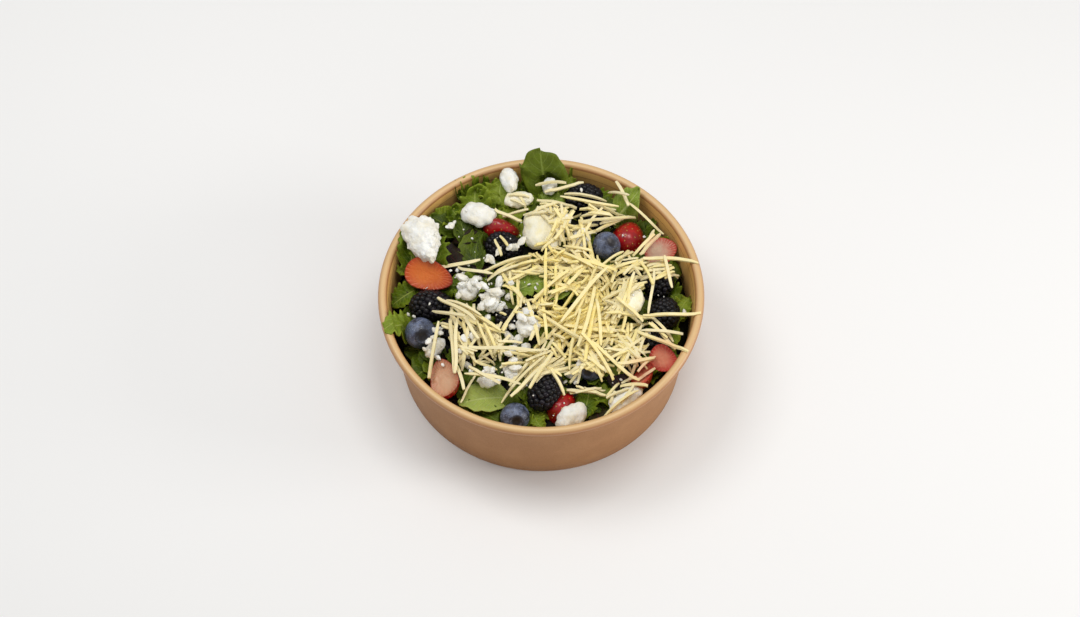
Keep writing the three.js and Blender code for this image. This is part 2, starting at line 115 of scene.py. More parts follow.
class Paint:
    # one material and the nodes behind its shader
    def __init__(self, name, **settings):
        self.material = bpy.data.materials.new(name)
        self.material.use_nodes = True
        self.tree = self.material.node_tree
        self.shader = self.tree.nodes["Principled BSDF"]
        self.place = self.node("ShaderNodeTexCoord", output="Object")
        self.shade(**settings)

    def node(self, kind, settings=None, inputs=None, output=0):
        new = self.tree.nodes.new(kind)
        for key, value in (settings or {}).items():
            setattr(new, key, value)
        for key, value in (inputs or {}).items():
            self.plug(new.inputs[key], value)
        return Wire(self, new.outputs[output])

    def plug(self, socket, value):
        if isinstance(value, Wire):
            self.tree.links.new(value.socket, socket)
        else:
            socket.default_value = value

    def shade(self, **sockets):
        for name, value in sockets.items():
            self.plug(self.shader.inputs[name.replace("_", " ")], value)

    def noise(self, size, detail=3, rough=0.55, twist=0, place=None):
        # size is that of one blotch, in millimetres
        return self.node("ShaderNodeTexNoise", None, {
            "Vector": place or self.place, "Scale": 1 / (size * mm), "Detail": detail, "Roughness": rough,
            "Distortion": twist})

    def cells(self, size, feature="F1"):
        return self.node("ShaderNodeTexVoronoi", {"feature": feature},
                         {"Vector": self.place, "Scale": 1 / (size * mm)})

    def stretched(self, scale):
        return self.node("ShaderNodeMapping", None, {"Vector": self.place, "Scale": scale})

    def mix(self, first, second, share):
        first, second = [colour if isinstance(colour, Wire) else ink(*colour) for colour in (first, second)]
        return self.node("ShaderNodeMix", {"data_type": "RGBA"}, {"Factor": share, 6: first, 7: second}, 2)

    def stored(self, name):
        return self.node("ShaderNodeAttribute", {"attribute_name": name}, output="Fac")

    def bump(self, height, depth):
        # depth in millimetres
        return self.node("ShaderNodeBump", None, {"Height": height, "Strength": 1.0, "Distance": depth * mm})


# mesh helpers

def turned(turn=0, tip=0, roll=0):
    # heading from +X, then how far the far end leans down, then the roll about the length
    return Euler((radians(roll), radians(tip), radians(turn)), "XYZ").to_matrix().to_4x4()


def stretch(size):
    return Matrix.Diagonal((*size, 1))


def fromMm(*values):
    return Vector(values) * mm


def toMesh(name, shape):
    mesh = bpy.data.meshes.new(name)
    shape.to_mesh(mesh)
    shape.free()
    return mesh


def inScene(name, data):
    thing = bpy.data.objects.new(name, data)
    bpy.context.collection.objects.link(thing)
    return thing


def meshObject(name, shape, paints, smooth=True):
    mesh = toMesh(name, shape)
    mesh.polygons.foreach_set("use_smooth", [smooth] * len(mesh.polygons))
    for paint in paints:
        mesh.materials.append(paint.material)
    return inScene(name, mesh)


def makePiece(name, shape, paints, nodes=(), smooth=True):
    piece = meshObject(name, shape, paints, smooth)
    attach(piece, "root")
    if nodes:
        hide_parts(*nodes)


def addTo(whole, part):
    # joins one shape to another and frees it
    mesh = toMesh("part", part)
    whole.from_mesh(mesh)
    bpy.data.meshes.remove(mesh)


def outwards(shape):
    bmesh.ops.remove_doubles(shape, verts=shape.verts[:], dist=0.01 * mm)
    bmesh.ops.recalc_face_normals(shape, faces=shape.faces[:])


def lathe(profile, sides):
    # a round shape from radii and heights in millimetres
    shape = bmesh.new()
    verts = [shape.verts.new((x * mm, 0, z * mm)) for x, z in profile]
    edges = [shape.edges.new(pair) for pair in zip(verts, verts[1:])]
    bmesh.ops.spin(shape, geom=verts + edges, cent=(0, 0, 0), axis=(0, 0, 1), dvec=(0, 0, 0),
                   angle=tau, steps=sides, use_merge=True)
    outwards(shape)
    return shape


def fitToNode(shape, node):
    # stretches a shape a little, so that it fills its node's box, and draws in what would cross the wall
    low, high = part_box(node)
    corners = [vert.co for vert in shape.verts]
    least = Vector([min(corner[i] for corner in corners) for i in range(3)])
    most = Vector([max(corner[i] for corner in corners) for i in range(3)])
    for vert in shape.verts:
        for i in range(3):
            share = (vert.co[i] - least[i]) / (most[i] - least[i])
            vert.co[i] = low[i] + share * (high[i] - low[i])
    for vert in shape.verts:
        z, out = vert.co.z / mm, vert.co.to_2d().length / mm
        most = wallRadius(z) - wallClear
        if z < bowl["height"] - belowRim and out > most:
            vert.co.x *= most / out
            vert.co.y *= most / out


def rows(names, lines):
    # a dictionary for each line, which may end with one of what it alone has
    made = []
    for line in lines:
        own = line[-1] if isinstance(line[-1], dict) else {}
        made.append({**dict(zip(names.split(), line)), **own})
    return made


# camera, light and table

camera = {
    "elevation": 58.17,  # degrees above the table
    "distance": 1100,
    "lens": 71.13,
    "aim": (-0.6, 4.0, 32.5),
}


def setCamera():
    data = bpy.data.cameras.new("camera")
    data.lens = camera["lens"]
    data.sensor_fit = "HORIZONTAL"
    eye = inScene("camera", data)
    rise = radians(camera["elevation"])
    back = Vector((0, -cos(rise), sin(rise)))
    eye.location = fromMm(*camera["aim"]) + back * camera["distance"] * mm
    eye.rotation_euler = back.to_track_quat("Z", "Y").to_euler()
    scene.camera = eye


setCamera()

lights = rows("name at size power colour", [
    ("skylight", (160, 60, 980), 420, 3.1, (1, 0.985, 0.955)),
    ("frontFill", (450, -850, 380), 500, 1.1, (1, 0.97, 0.93)),
    ("rightFill", (1000, -120, 330), 360, 4, (1, 0.97, 0.93)),
    ("leftFill", (-440, 180, 900), 420, 3.2, (1, 0.99, 0.97)),
])
skyStrength = 0.4
tableReach = 3  # metres each way


def setLights():
    for light in lights:
        data = bpy.data.lights.new(light["name"], "AREA")
        data.size = light["size"] * mm
        data.energy = light["power"]
        data.color = light["colour"]
        lamp = inScene(light["name"], data)
        lamp.location = fromMm(*light["at"])
        lamp.rotation_euler = lamp.location.to_track_quat("Z", "Y").to_euler()
    world = bpy.data.worlds.new("studio")
    world.use_nodes = True
    sky = world.node_tree.nodes["Background"]
    sky.inputs["Color"].default_value = (1, 1, 1, 1)
    sky.inputs["Strength"].default_value = skyStrength
    scene.world = world


setLights()


def makeTable():
    paint = Paint("table", Base_Color=ink(238, 238, 238), Roughness=0.9, Specular_IOR_Level=0.1)
    shape = bmesh.new()
    bmesh.ops.create_grid(shape, x_segments=1, y_segments=1, size=tableReach)
    table = meshObject("table", shape, [paint], smooth=False)
    table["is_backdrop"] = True


makeTable()
print("camera, lights and table")


# the paper bowl

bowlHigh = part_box("bowl")[1]
bowl = {
    "rim": bowlHigh.x / mm,
    "height": bowlHigh.z / mm,
    "roll": 2.3,
    "wall": 0.6,
    "foot": 73.5,
    "footWidth": 2.2,
    "recess": 5,
    "crease": (0.7, 49.8),  # depth and height of the line pressed in under the rim
    "paintedHighlight": (236, 206, 150),  # painted highlight on the roll's top, where the coating catches the light
    "sides": 160,
    "outerRings": (8, 20, 32, 43),
    "innerRings": (46, 34, 22, 12, 7.5),
    # where the board's ends overlap: first angle, degrees, how proud, lowest and highest
    "seam": {"at": 97, "width": 6, "rise": 0.35, "low": 1, "high": 46},
}
rollMiddle = (bowl["rim"] - bowl["roll"], bowl["height"] - bowl["roll"])
innerTop = rollMiddle[0] - bowl["roll"]
wallClear = 0.3  # how far toppings stay off the wall
belowRim = 3  # how far under the rim that begins


def wallRadius(z):
    # the inner face of the wall, which leans out a little
    lean = (innerTop - bowl["foot"] + bowl["wall"]) / rollMiddle[1]
    return bowl["foot"] - bowl["wall"] + lean * min(z, rollMiddle[1])


def paintKraft(name, base, dark, pale, shine):
    paint = Paint(name)
    height = paint.node("ShaderNodeSeparateXYZ", None, {"Vector": paint.place}, output="Z")
    fibres = paint.noise(0.5, detail=5, rough=0.7, place=paint.stretched((1, 1, 0.35)))
    cloud = paint.noise(14, detail=3)
    colour = paint.mix(base, dark, fibres.above(0.4, 0.8) * 0.5)
    colour = paint.mix(colour, pale, cloud.above(0.42, 0.8) * 0.4)
    flecks = paint.noise(1.1, detail=2, place=paint.stretched((1, 0.6, 1.8))).above(0.68, 0.74)
    colour = paint.mix(colour, dark, flecks * 0.6)
    # painted highlight: the roll's top 1.3 mm is mixed towards a pale colour
    crest = height.above((bowl["height"] - 1.3) * mm, bowl["height"] * mm)
    colour = paint.mix(colour, bowl["paintedHighlight"], crest * 0.6)
    paint.shade(Base_Color=colour, Roughness=fibres * 0.15 + (0.6 - shine), Coat_Weight=shine,
                Coat_Roughness=0.3, Normal=paint.bump(fibres, 0.05))
    return paint


def bowlProfile():
    outer = bowl["foot"] - bowl["footWidth"]
    depth, creaseAt = bowl["crease"]

    def outside(z):
        return wallRadius(z) + bowl["wall"]

    points = [(0, bowl["recess"]), (outer - 1, bowl["recess"]), (outer, bowl["recess"] - 0.8), (outer, 0.25),
              (outer + 0.25, 0), (bowl["foot"] - 0.4, 0), (bowl["foot"], 0.4)]
    for z in (*bowl["outerRings"], creaseAt - 0.7):
        points.append((outside(z), z))
    points += [(outside(creaseAt) - depth, creaseAt), (outside(creaseAt + 0.7), creaseAt + 0.7)]
    start, sweep, steps = -130, 310, 14
    for i in range(steps + 1):
        angle = radians(start + sweep * i / steps)
        points.append((rollMiddle[0] + bowl["roll"] * cos(angle),
                       rollMiddle[1] + bowl["roll"] * sin(angle)))
    for z in bowl["innerRings"]:
        points.append((wallRadius(z), z))
    floor = bowl["recess"] + bowl["wall"]
    return points + [(wallRadius(floor) - 1.2, floor), (0, floor)]


def makeBowl():
    shape = lathe(bowlProfile(), bowl["sides"])
    seam = bowl["seam"]
    rollLow = bowl["height"] - 2.05 * bowl["roll"]
    for face in shape.faces:
        middle = face.calc_center_median() / mm
        out = middle.to_2d().normalized()
        inside = face.normal.to_2d().dot(out) < -0.25 or (face.normal.z > 0.7 and middle.z < 20)
        face.material_index = 2 if middle.z > rollLow else 1 if inside else 0
    for vert in shape.verts:
        angle = degrees(atan2(vert.co.y, vert.co.x)) - seam["at"]
        onOuterWall = vert.co.to_2d().length > (wallRadius(vert.co.z / mm) + bowl["wall"] / 3) * mm
        if 0 < angle < seam["width"] and onOuterWall and seam["low"] * mm < vert.co.z < seam["high"] * mm:
            vert.co += Vector((vert.co.x, vert.co.y, 0)).normalized() * seam["rise"] * mm
    outside = paintKraft("kraftBoard", (166, 116, 69), (132, 87, 49), (188, 139, 91), 0.05)
    lining = paintKraft("kraftLining", (240, 190, 112), (208, 154, 84), (246, 204, 134), 0.2)
    roll = paintKraft("kraftRoll", (176, 122, 74), (150, 100, 56), (200, 146, 96), 0.25)
    makePiece("paper_bowl", shape, [outside, lining, roll], ["bowl"])


makeBowl()
print("bowl")


# where everything lies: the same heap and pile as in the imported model, in millimetres

heap = {"middle": 51, "edge": 40, "backLift": 0.055, "shoulder": 6, "lumps": 1.3}


def heapTop(x, y):
    reach = hypot(x, y) / innerTop
    dome = heap["edge"] + (heap["middle"] - heap["edge"]) * (1 - reach ** 2)
    lumps = heap["lumps"] * sin(x / 9 + 1) * cos(y / 11 - 0.5)
    return dome + heap["backLift"] * y + lumps - heap["shoulder"] * reach ** 12


# the hills of cheese: middle, spread and height
hills = [
    ((18, -4), (30, 33), 6.5), ((6, 34), (20, 18), 4.2), ((-34, -20), (17, 18), 4.2),
    ((-6, -36), (20, 13), 3.8), ((34, 48), (17, 11), 2), ((60, 4), (14, 26), 2.2), ((44, -36), (16, 12), 2),
]


def pileHeight(x, y):
    return max(height * exp(-((x - at[0]) / spread[0]) ** 2 - ((y - at[1]) / spread[1]) ** 2)
               for at, spread, height in hills)


brambles = rows("radii turn tip", [
    ((11.5, 8.5, 8.5), 8, 4),
    ((8.5, 7.8, 7.8), 60, 10),
    ((10.5, 8, 8), -14, 0),
    ((10, 8, 8), 4, -6),
    ((10, 8.5, 8.5), 100, 8),
    ((9.5, 8.5, 8.5), 78, 6),
    ((12, 8.3, 8.3), 58, -8),
    ((8, 7.2, 7.2), 30, 0),
    ((7.8, 7, 7), 110, 12),
    ((7.8, 7, 7), 15, 0),
    ((7, 6.5, 6.5), 70, 0),
    ((6.8, 6.2, 6.2), 20, 0),
])

blueberries = rows("radius turn tip", [
    (7.5, 330, -60),
    (8.2, 290, -42),
    (7.4, 280, -38),
    (6.5, 250, -30),
])

strawberries = rows("radii turn roll flesh", [
    ((11, 10, 7), 75, 180, "pink"),
    ((8.5, 6.5, 5.5), 20, 35, "pink"),
    ((10, 6, 6), -8, 170, "pink"),
    ((12.5, 7.5, 7), -24, 25, "orange"),
    ((10.5, 7.2, 6), 105, -20, "pale"),
    ((9.5, 6.5, 5), 52, 180, "pink"),
    ((8, 6, 5), -30, 30, "red"),
    ((7.5, 5, 4.5), 60, -30, "red"),
])

fetas = rows("radii turn grain", [
    ((11.5, 15.5, 8.5), 12, 1.0, {"taper": 0.6}),
    ((10.5, 8, 6.5), -20, 0.35),
    ((6, 8.5, 5), 10, 0.6, {"taper": 0.5}),
    ((5, 6, 5), 0, 0.6),
    ((8.5, 5.5, 5), 10, 0.5, {"cream": True}),
    ((14, 14, 8), 15, 0.1, {"cream": True}),
    ((6.5, 8, 4.5), 0, 1.0),
    ((6, 7, 5), -10, 0.9),
    ((7.5, 7.5, 5), 0, 0.9),
    ((4.5, 7.5, 4), -35, 1.0),
    ((5, 6, 4), 0, 1.0),
    ((6, 7, 4.5), 20, 0.9),
    ((6.5, 5, 4), 10, 1.0),
    ((10.5, 6, 5.5), 43, 0.4),
    ((11.5, 5.5, 5), 43, 0.5),
    ((7.5, 10, 6.5), -15, 0.1, {"cream": True}),
    ((6, 7.5, 4.5), 10, 0.8),
])


def middleOf(node):
    low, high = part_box(node)
    return (low + high) / 2


# the room that every topping takes up, which leaves pass under
toppings = []
families = {"bramble": brambles, "blueberry": blueberries, "strawberry": strawberries, "feta": fetas}
for family, items in families.items():
    for number, item in enumerate(items, 1):
        item["node"] = family + "_" + str(number)
        middle = middleOf(item["node"])
        item["place"] = (Matrix.Translation(middle)
                         @ turned(item["turn"], item.get("tip", 0), item.get("roll", 0)))
        size = item.get("radii") or (item["radius"],) * 3
        toppings.append({"middle": middle / mm, "turn": radians(item["turn"]), "size": size})


# leaves

leafKinds = {leaf["kind"]: leaf for leaf in rows("kind along across stem lobes frill teeth waves cup blunt", [
    ("smooth", 16, 8, 0.1, 0.0, 0.02, 5, 3.6, 0.16, 0.7),
    ("round", 18, 10, 0.14, 0.0, 0.02, 5, 3.6, 0.12, 0.42),
    ("frilly", 40, 12, 0.3, 0.1, 0.12, 7, 5.5, 0.12, 0.5),
    ("curly", 44, 16, 0.4, 0.1, 0.11, 5.5, 5.2, 0.26, 0.36),
    ("rocket", 22, 8, 0.13, 0.3, 0.03, 5, 4, 0.12, 0.75),
])}

leafThick = 0.45
rimClear = 0.5
leafClear = 0.8  # between a tall leaf and the toppings in front of it

# listed leaves: foot on the heap, heading, length, width, first rise and how far they bow over
shownLeaves = rows("kind from turn length width rise bend ruffle", [
    ("round", (4.5, 62), 92, 30, 25, 72, 32, 1.0, {"fold": 0.12, "sway": -8, "tall": True, "tone": 0.75}),
    ("curly", (-20, 54), 104, 19, 20, 44, 40, 2.4, {"tone": 0.9}),
    ("curly", (-31, 47), 112, 19, 19, 38, 40, 2.6, {"tone": 0.7}),
    ("curly", (-38, 42), 130, 16, 15, 36, 40, 2.4, {"tone": 0.2}),
    ("curly", (-55, 14), 100, 25, 20, 30, 30, 2.2, {"sink": -3}),
    ("curly", (-67, 16), 88, 24, 14, 32, 30, 2.2, {"sink": -3}),
    ("smooth", (-38, 33), 112, 20, 11, 30, 30, 1.2, {"tone": 0.4}),
    ("smooth", (36, 49), 28, 24, 16, 50, 20, 1.6, {"colour": "pale", "tone": 0.2}),
    ("smooth", (-3, 59), 8, 18, 10, 24, 20, 1.0, {"colour": "pale", "sink": 0, "tone": 0.5}),
    ("frilly", (15, 57), 76, 18, 10, 60, 30, 1.2),
    ("frilly", (-62, -12), 206, 28, 15, 58, 40, 1.4),
    ("smooth", (-50, -32), 214, 22, 17, 24, 20, 1.6),
    ("smooth", (-15, -53), 188, 27, 18, 24, 36, 1.2, {"tone": 1, "sway": 5, "colour": "pale"}),
    ("frilly", (-20, -59), 222, 15, 11, 26, 40, 1.2),
    ("frilly", (-4, -60), 276, 14, 9, 30, 30, 1.4),
    ("frilly", (67, -9), 272, 24, 9, 16, 26, 1.6),
    ("smooth", (-33, 15), 96, 21, 12, 22, 20, 1.0),
    ("smooth", (24, -50), 342, 17, 10, 26, 30, 1.2),
    ("smooth", (-46, 36), 0, 25, 9, 36, 66, 0.6, {"colour": "red", "sink": 0, "sway": 0}),
    ("smooth", (-41, 24), 80, 18, 6, 24, 30, 0.5, {"sink": 1}),
    ("smooth", (-35, 23), 88, 18, 5.5, 26, 30, 0.5, {"sink": 1}),
    ("smooth", (-30, 24), 96, 16, 5, 26, 30, 0.5, {"sink": 1}),
    ("curly", (-25, 60), 120, 15, 12, 52, 40, 3.0),
    ("curly", (-35, 57), 100, 15, 12, 46, 50, 3.0),
    ("frilly", (-28, 54), 40, 14, 11, 40, 40, 2.6),
    ("frilly", (-10, 66), 150, 13, 11, 40, 30, 2.6),
    ("frilly", (12, 66), 70, 12, 10, 50, 30, 2.0),
    ("rocket", (-33, -32), 262, 18, 11, 20, 20, 1.4),
    ("smooth", (50, 43), 14, 13, 9, 36, 20, 0.8),
    ("smooth", (-64, 4), 98, 20, 11, 24, 20, 1.0, {"colour": "red"}),
    ("smooth", (-40, 22), 160, 19, 13, 30, 30, 1.0, {"colour": "red"}),
    ("smooth", (-42, 40), 146, 19, 13, 32, 24, 1.2),
    ("smooth", (-40, -53), 196, 16, 10, 28, 30, 1.0, {"colour": "red"}),
    ("smooth", (66, 22), 250, 13, 9, 20, 24, 1.0),
    ("smooth", (26, -57), 296, 15, 10, 26, 24, 0.8, {"colour": "red"}),
    ("frilly", (-15, 0), 28, 24, 13, 10, 12, 1.2, {"sink": -4, "colour": "pale", "tone": 0}),
    ("smooth", (4, -5), 30, 19, 9, 14, 20, 1.0, {"sink": -5, "colour": "pale", "tone": 0}),
])

filler = {
    "count": 130, "seed": 5, "reach": 70, "red": 0.3, "frilly": 0.35, "above": 1.5, "length": (15, 28),
    "turnedBack": 58,  # from here out they point inwards
    "drawn": {"width": (9, 17), "rise": (8, 26), "bend": (20, 50), "ruffle": (0.6, 1.6), "sink": (2, 4.5)},
}
wallLeaves = {
    "count": 36, "reach": (63, 69), "length": (12, 18),
    "drawn": {"width": (8, 13), "rise": (10, 34), "bend": (20, 50), "ruffle": (1, 2), "sink": (-2, 1)},
}
goldenTurn = 2.39996


def kindColour(leaf):
    return leaf.get("colour") or ("frilly" if leaf["kind"] in ("frilly", "curly") else "green")


def looseLeaf(dice, drawn, kind, reach, angle, turn, length):
    leaf = {name: dice.uniform(*limits) for name, limits in drawn.items()}
    leaf.update({"kind": kind, "from": (reach * cos(angle), reach * sin(angle)),
                 "turn": turn, "length": length})
    return leaf


def looseLeaves(dice):
    # leaves that lie all over the heap and hide its core, and more along the wall
    leaves = []
    for i in range(filler["count"]):
        reach = filler["reach"] * sqrt((i + 0.5) / filler["count"])
        angle = i * goldenTurn + dice.uniform(-0.4, 0.4)
        kind = "frilly" if dice.random() < filler["frilly"] else dice.choice(("smooth", "smooth", "rocket"))
        length = dice.uniform(*filler["length"])
        turn = degrees(angle) + dice.uniform(-100, 100) + (180 if reach > filler["turnedBack"] else 0)
        leaf = looseLeaf(dice, filler["drawn"], kind, reach, angle, turn, length)
        leaf["filler"] = True
        leaf["colour"] = "red" if kind != "frilly" and dice.random() < filler["red"] else None
        leaves.append(leaf)
    for i in range(wallLeaves["count"]):
        angle = tau * (i + dice.uniform(-0.3, 0.3)) / wallLeaves["count"]
        reach = dice.uniform(*wallLeaves["reach"])
        kind = dice.choice(("frilly", "curly", "smooth"))
        turn = degrees(angle) + 90 + dice.uniform(-50, 50)
        leaves.append(looseLeaf(dice, wallLeaves["drawn"], kind, reach, angle, turn,
                                dice.uniform(*wallLeaves["length"])))
    return leaves


def leafHalf(kind, u):
    # half the leaf's width at u of its length, as a share of the full half width
    swell = sin(pi * ((u - 0.04) / 0.96) ** 0.8) ** kind["blunt"] if 0.04 < u < 1 else 0
    lobe = 1 - kind["lobes"] * (0.5 + 0.5 * cos(u * 5 * tau))
    return max(kind["stem"] * (1 - u) ** 0.5, swell * lobe)


def growLeaf(leaf, dice):
    kind = leafKinds[leaf["kind"]]
    shape = bmesh.new()
    bmesh.ops.create_grid(shape, x_segments=kind["along"], y_segments=kind["across"], size=0.5)
    along, across, tone = [shape.verts.layers.float.new(name) for name in ("along", "across", "tone")]
    leafTone = leaf.get("tone", dice.random())
    sway = leaf.get("sway", dice.uniform(-30, 30))
    phases = [dice.uniform(0, tau) for _ in range(4)]
    steps = 24
    path = [Vector((0, 0, 0))]
    for i in range(steps):
        u = (i + 0.5) / steps
        pitch = radians(leaf["rise"] - leaf["bend"] * u)
        yaw = radians(sway * u)
        path.append(path[-1] + Vector((cos(pitch) * cos(yaw), cos(pitch) * sin(yaw),
                                       sin(pitch))) * leaf["length"] / steps)
    x, y = leaf["from"]
    foot = Matrix.Translation(fromMm(x, y, heapTop(x, y) - leaf.get("sink", 2.5)))
    place = foot @ turned(leaf["turn"], 0, dice.uniform(-14, 14)) @ stretch((mm,) * 3)
    for vert in shape.verts:
        u, v = 1 - (0.5 - vert.co.x) ** 1.6, vert.co.y * 2  # closer together towards the tip
        vert[along], vert[across], vert[tone] = u, v, leafTone
        index = min(steps - 1, int(u * steps))
        spine = path[index].lerp(path[index + 1], u * steps - index)
        half = leaf["width"] / 2 * leafHalf(kind, u)
        half *= 1 + kind["frill"] * abs(v) ** 3 * sin(u * kind["teeth"] * tau + phases[2] + 2 * v)
        edge = abs(v) ** 1.7
        side = 1 if v > 0 else 0
        wave = leaf["ruffle"] * edge * sin(u * kind["waves"] * tau + phases[side])
        wave += 0.4 * leaf["ruffle"] * edge * sin(u * 17 + phases[3] + 3 * v)
        lift = kind["cup"] * leaf["width"] * v * v * (0.4 + 0.6 * sin(pi * u))
        lift -= leaf.get("fold", 0) * leaf["width"] * max(0, -v)
        vert.co = place @ (spine + Vector((0, v * half, wave * min(1, 4 * u) + lift)))
    settle(shape, leaf)
    thicken(shape, leafThick * mm)
    return shape


def thicken(shape, thick):
    # a closed sheet, made by moving a copy of the open one along its normals
    shape.normal_update()
    out = shape.verts.layers.float_vector.new("out")
    for vert in shape.verts:
        vert[out] = vert.normal
    copy = bmesh.ops.extrude_face_region(shape, geom=shape.faces[:], use_keep_orig=True)
    for vert in copy["geom"]:
        if isinstance(vert, bmesh.types.BMVert):
            vert.co -= vert[out] * thick
    shape.verts.layers.float_vector.remove(out)
    outwards(shape)


def underToppings(x, y):
    # how high a leaf may be at this place
    most = bowl["height"] + 20  # with nothing in the way
    for topping in toppings:
        middle, size = topping["middle"], topping["size"]
        a, b = x - middle.x, y - middle.y
        cosine, sine = cos(topping["turn"]), sin(topping["turn"])
        reach = hypot((a * cosine + b * sine) / size[0], (b * cosine - a * sine) / size[1]) / 1.12
        if reach < 1:
            most = min(most, middle.z - size[2] * sqrt(1 - reach * reach) + 0.6)
    return most


def settle(shape, leaf):
    # keeps a leaf off the wall and under the toppings that lie on it, or a tall one behind them
    ceiling = cadBounds[1].z / mm - rimClear
    for vert in shape.verts:
        x, y, z = vert.co / mm
        if leaf.get("tall"):
            for topping in toppings:
                gap = Vector((x, y, z)) - topping["middle"]
                room = max(topping["size"]) + leafClear
                if gap.length < room:
                    y += sqrt(room ** 2 - gap.length ** 2)
        else:
            z = min(z, underToppings(x, y))
        z = min(z, ceiling)
        out = hypot(x, y)
        if out > innerTop - 1.5 and z > bowl["height"] - 5:
            z = max(z, bowl["height"] + rimClear)  # over the rim
        if leaf.get("filler"):
            z = min(z, heapTop(x, y) + filler["above"] + 0.3 * (z - heapTop(x, y) - filler["above"]))
        most = (wallRadius(z) if z < bowl["height"] else bowl["rim"]) - rimClear - wallClear
        squeeze = min(1, most / max(out, 1))
        vert.co = fromMm(x * squeeze, y * squeeze, z)


def paintLeaf(name, dark, mid, pale, veinColour):
    paint = Paint(name)
    along, across, tone = [paint.stored(layer) for layer in ("along", "across", "tone")]
    side = across.unsigned()
    blotch = paint.noise(5, detail=4)
    colour = paint.mix(dark, mid, blotch.above(0.3, 0.65))
    colour = paint.mix(colour, pale, tone.above(0.45, 1) * 0.6 + side.above(0.5, 1.4) * 0.4)
    ribs = ((along * 7 - side * 2.2) * tau).sine()
    veins = ribs.above(0.86, 1.0) * (1 - side.above(0.55, 1.0))
    midrib = 1 - side.above(0.015, 0.075)
    net = 1 - paint.cells(1.5, "DISTANCE_TO_EDGE").above(0.02, 0.14)
    mask = midrib.orMore(veins * 0.55)
    colour = paint.mix(colour, veinColour, mask * 0.75 + net * 0.07)
    height = mask * -0.8 + net * -0.35 + blotch * 0.4
    paint.shade(Base_Color=colour, Roughness=blotch * 0.25 + 0.34, Normal=paint.bump(height, 0.22),
                Specular_IOR_Level=0.2, Subsurface_Weight=0.08, Subsurface_Radius=(0.3, 0.6, 0.02),
                Subsurface_Scale=0.0015)
    return paint


leafPaints = {
    "green": paintLeaf("baby_leaf", (38, 54, 1), (72, 90, 3), (118, 132, 32), (124, 138, 60)),
    "frilly": paintLeaf("frilly_leaf", (56, 78, 2), (98, 120, 8), (156, 170, 54), (160, 172, 84)),
    "pale": paintLeaf("pale_leaf", (92, 116, 26), (138, 158, 56), (172, 184, 98), (184, 194, 122)),
    "red": paintLeaf("red_leaf", (14, 9, 10), (34, 16, 18), (50, 48, 14), (84, 44, 46)),
}
# painted shade: a near-black leaf colour for the core, standing in for the shade deep between the leaves
shadePaint = paintLeaf("shaded_leaf", (7, 9, 4), (16, 20, 8), (20, 14, 12), (24, 26, 14))


# the core: how far off the bowl and below the heap's top it ends, its folds' depth and length
core = {"clear": 2, "sunk": 5.5, "folds": 3.5, "foldLength": 9, "ring": 3.5, "sides": 120, "tone": 0.1}


def makeCore():
    # the imported leaves below, which only show between the ones on top; their near-black colour is painted
    # shade
    floor, edge = bowl["recess"] + core["clear"], heap["edge"]
    rings = [(core["ring"] * (20 - i), edge) for i in range(21)]
    profile = [(0, floor), (wallRadius(floor) - 1, floor), (wallRadius(edge) - 1, edge)] + rings
    shape = lathe(profile, core["sides"])
    for vert in shape.verts:
        x, y, z = vert.co / mm
        if z > floor + 1:
            folds = noise.turbulence(Vector((x, y, 0)) / core["foldLength"], 3, True)
            vert.co.z = (heapTop(x, y) - core["sunk"] + core["folds"] * folds) * mm
    tone = shape.verts.layers.float.new("tone")
    for vert in shape.verts:
        vert[tone] = core["tone"]
    makePiece("packed_leaves", shape, [shadePaint], ["salad_leaves"])


def makeLeaves():
    dice = random.Random(filler["seed"])
    heaps = {colour: bmesh.new() for colour in leafPaints}
    for leaf in looseLeaves(dice) + shownLeaves:
        addTo(heaps[kindColour(leaf)], growLeaf(leaf, dice))
    names = {"green": "baby_leaves", "frilly": "frilly_leaves", "pale": "pale_leaves", "red": "red_leaves"}
    for colour, shape in heaps.items():
        makePiece(names[colour], shape, [leafPaints[colour]], ["salad_leaves"])


makeCore()
makeLeaves()
print("leaves")


# bramble berries

drupelet = {"spacing": 3.05, "radius": 1.85, "core": 0.84, "cover": 0.86, "seed": 21}
hexagon = 0.866  # each takes up this share of a square of their spacing


def paintBramble():
    paint = Paint("bramble_skin")
    tone = paint.stored("tone")
    colour = paint.mix((8, 6, 9), (24, 18, 28), tone.above(0.6, 1))
    # painted sheen: blue-grey patches stand in for reflections on the drupelets
    palePatch = paint.noise(1.6, detail=2).above(0.55, 0.8)
    colour = paint.mix(colour, (46, 50, 68), palePatch * 0.3)
    paint.shade(Base_Color=colour, Roughness=palePatch * 0.2 + 0.4, Coat_Weight=0.08, Coat_Roughness=0.12,
                Specular_IOR_Level=0.25, Normal=paint.bump(paint.noise(0.7), 0.04))
    return paint


def evenDirections(count, dice, jitter):
    # directions spread evenly over a ball, each moved a little
    turn = pi * (3 - sqrt(5))
    for i in range(count):
        x = 1 - 2 * (i + 0.5) / count
        flat = sqrt(1 - x * x)
        direction = Vector((x, flat * cos(turn * i), flat * sin(turn * i)))
        shove = Vector([dice.uniform(-jitter, jitter) for _ in range(3)])
        yield (direction + shove).normalized()


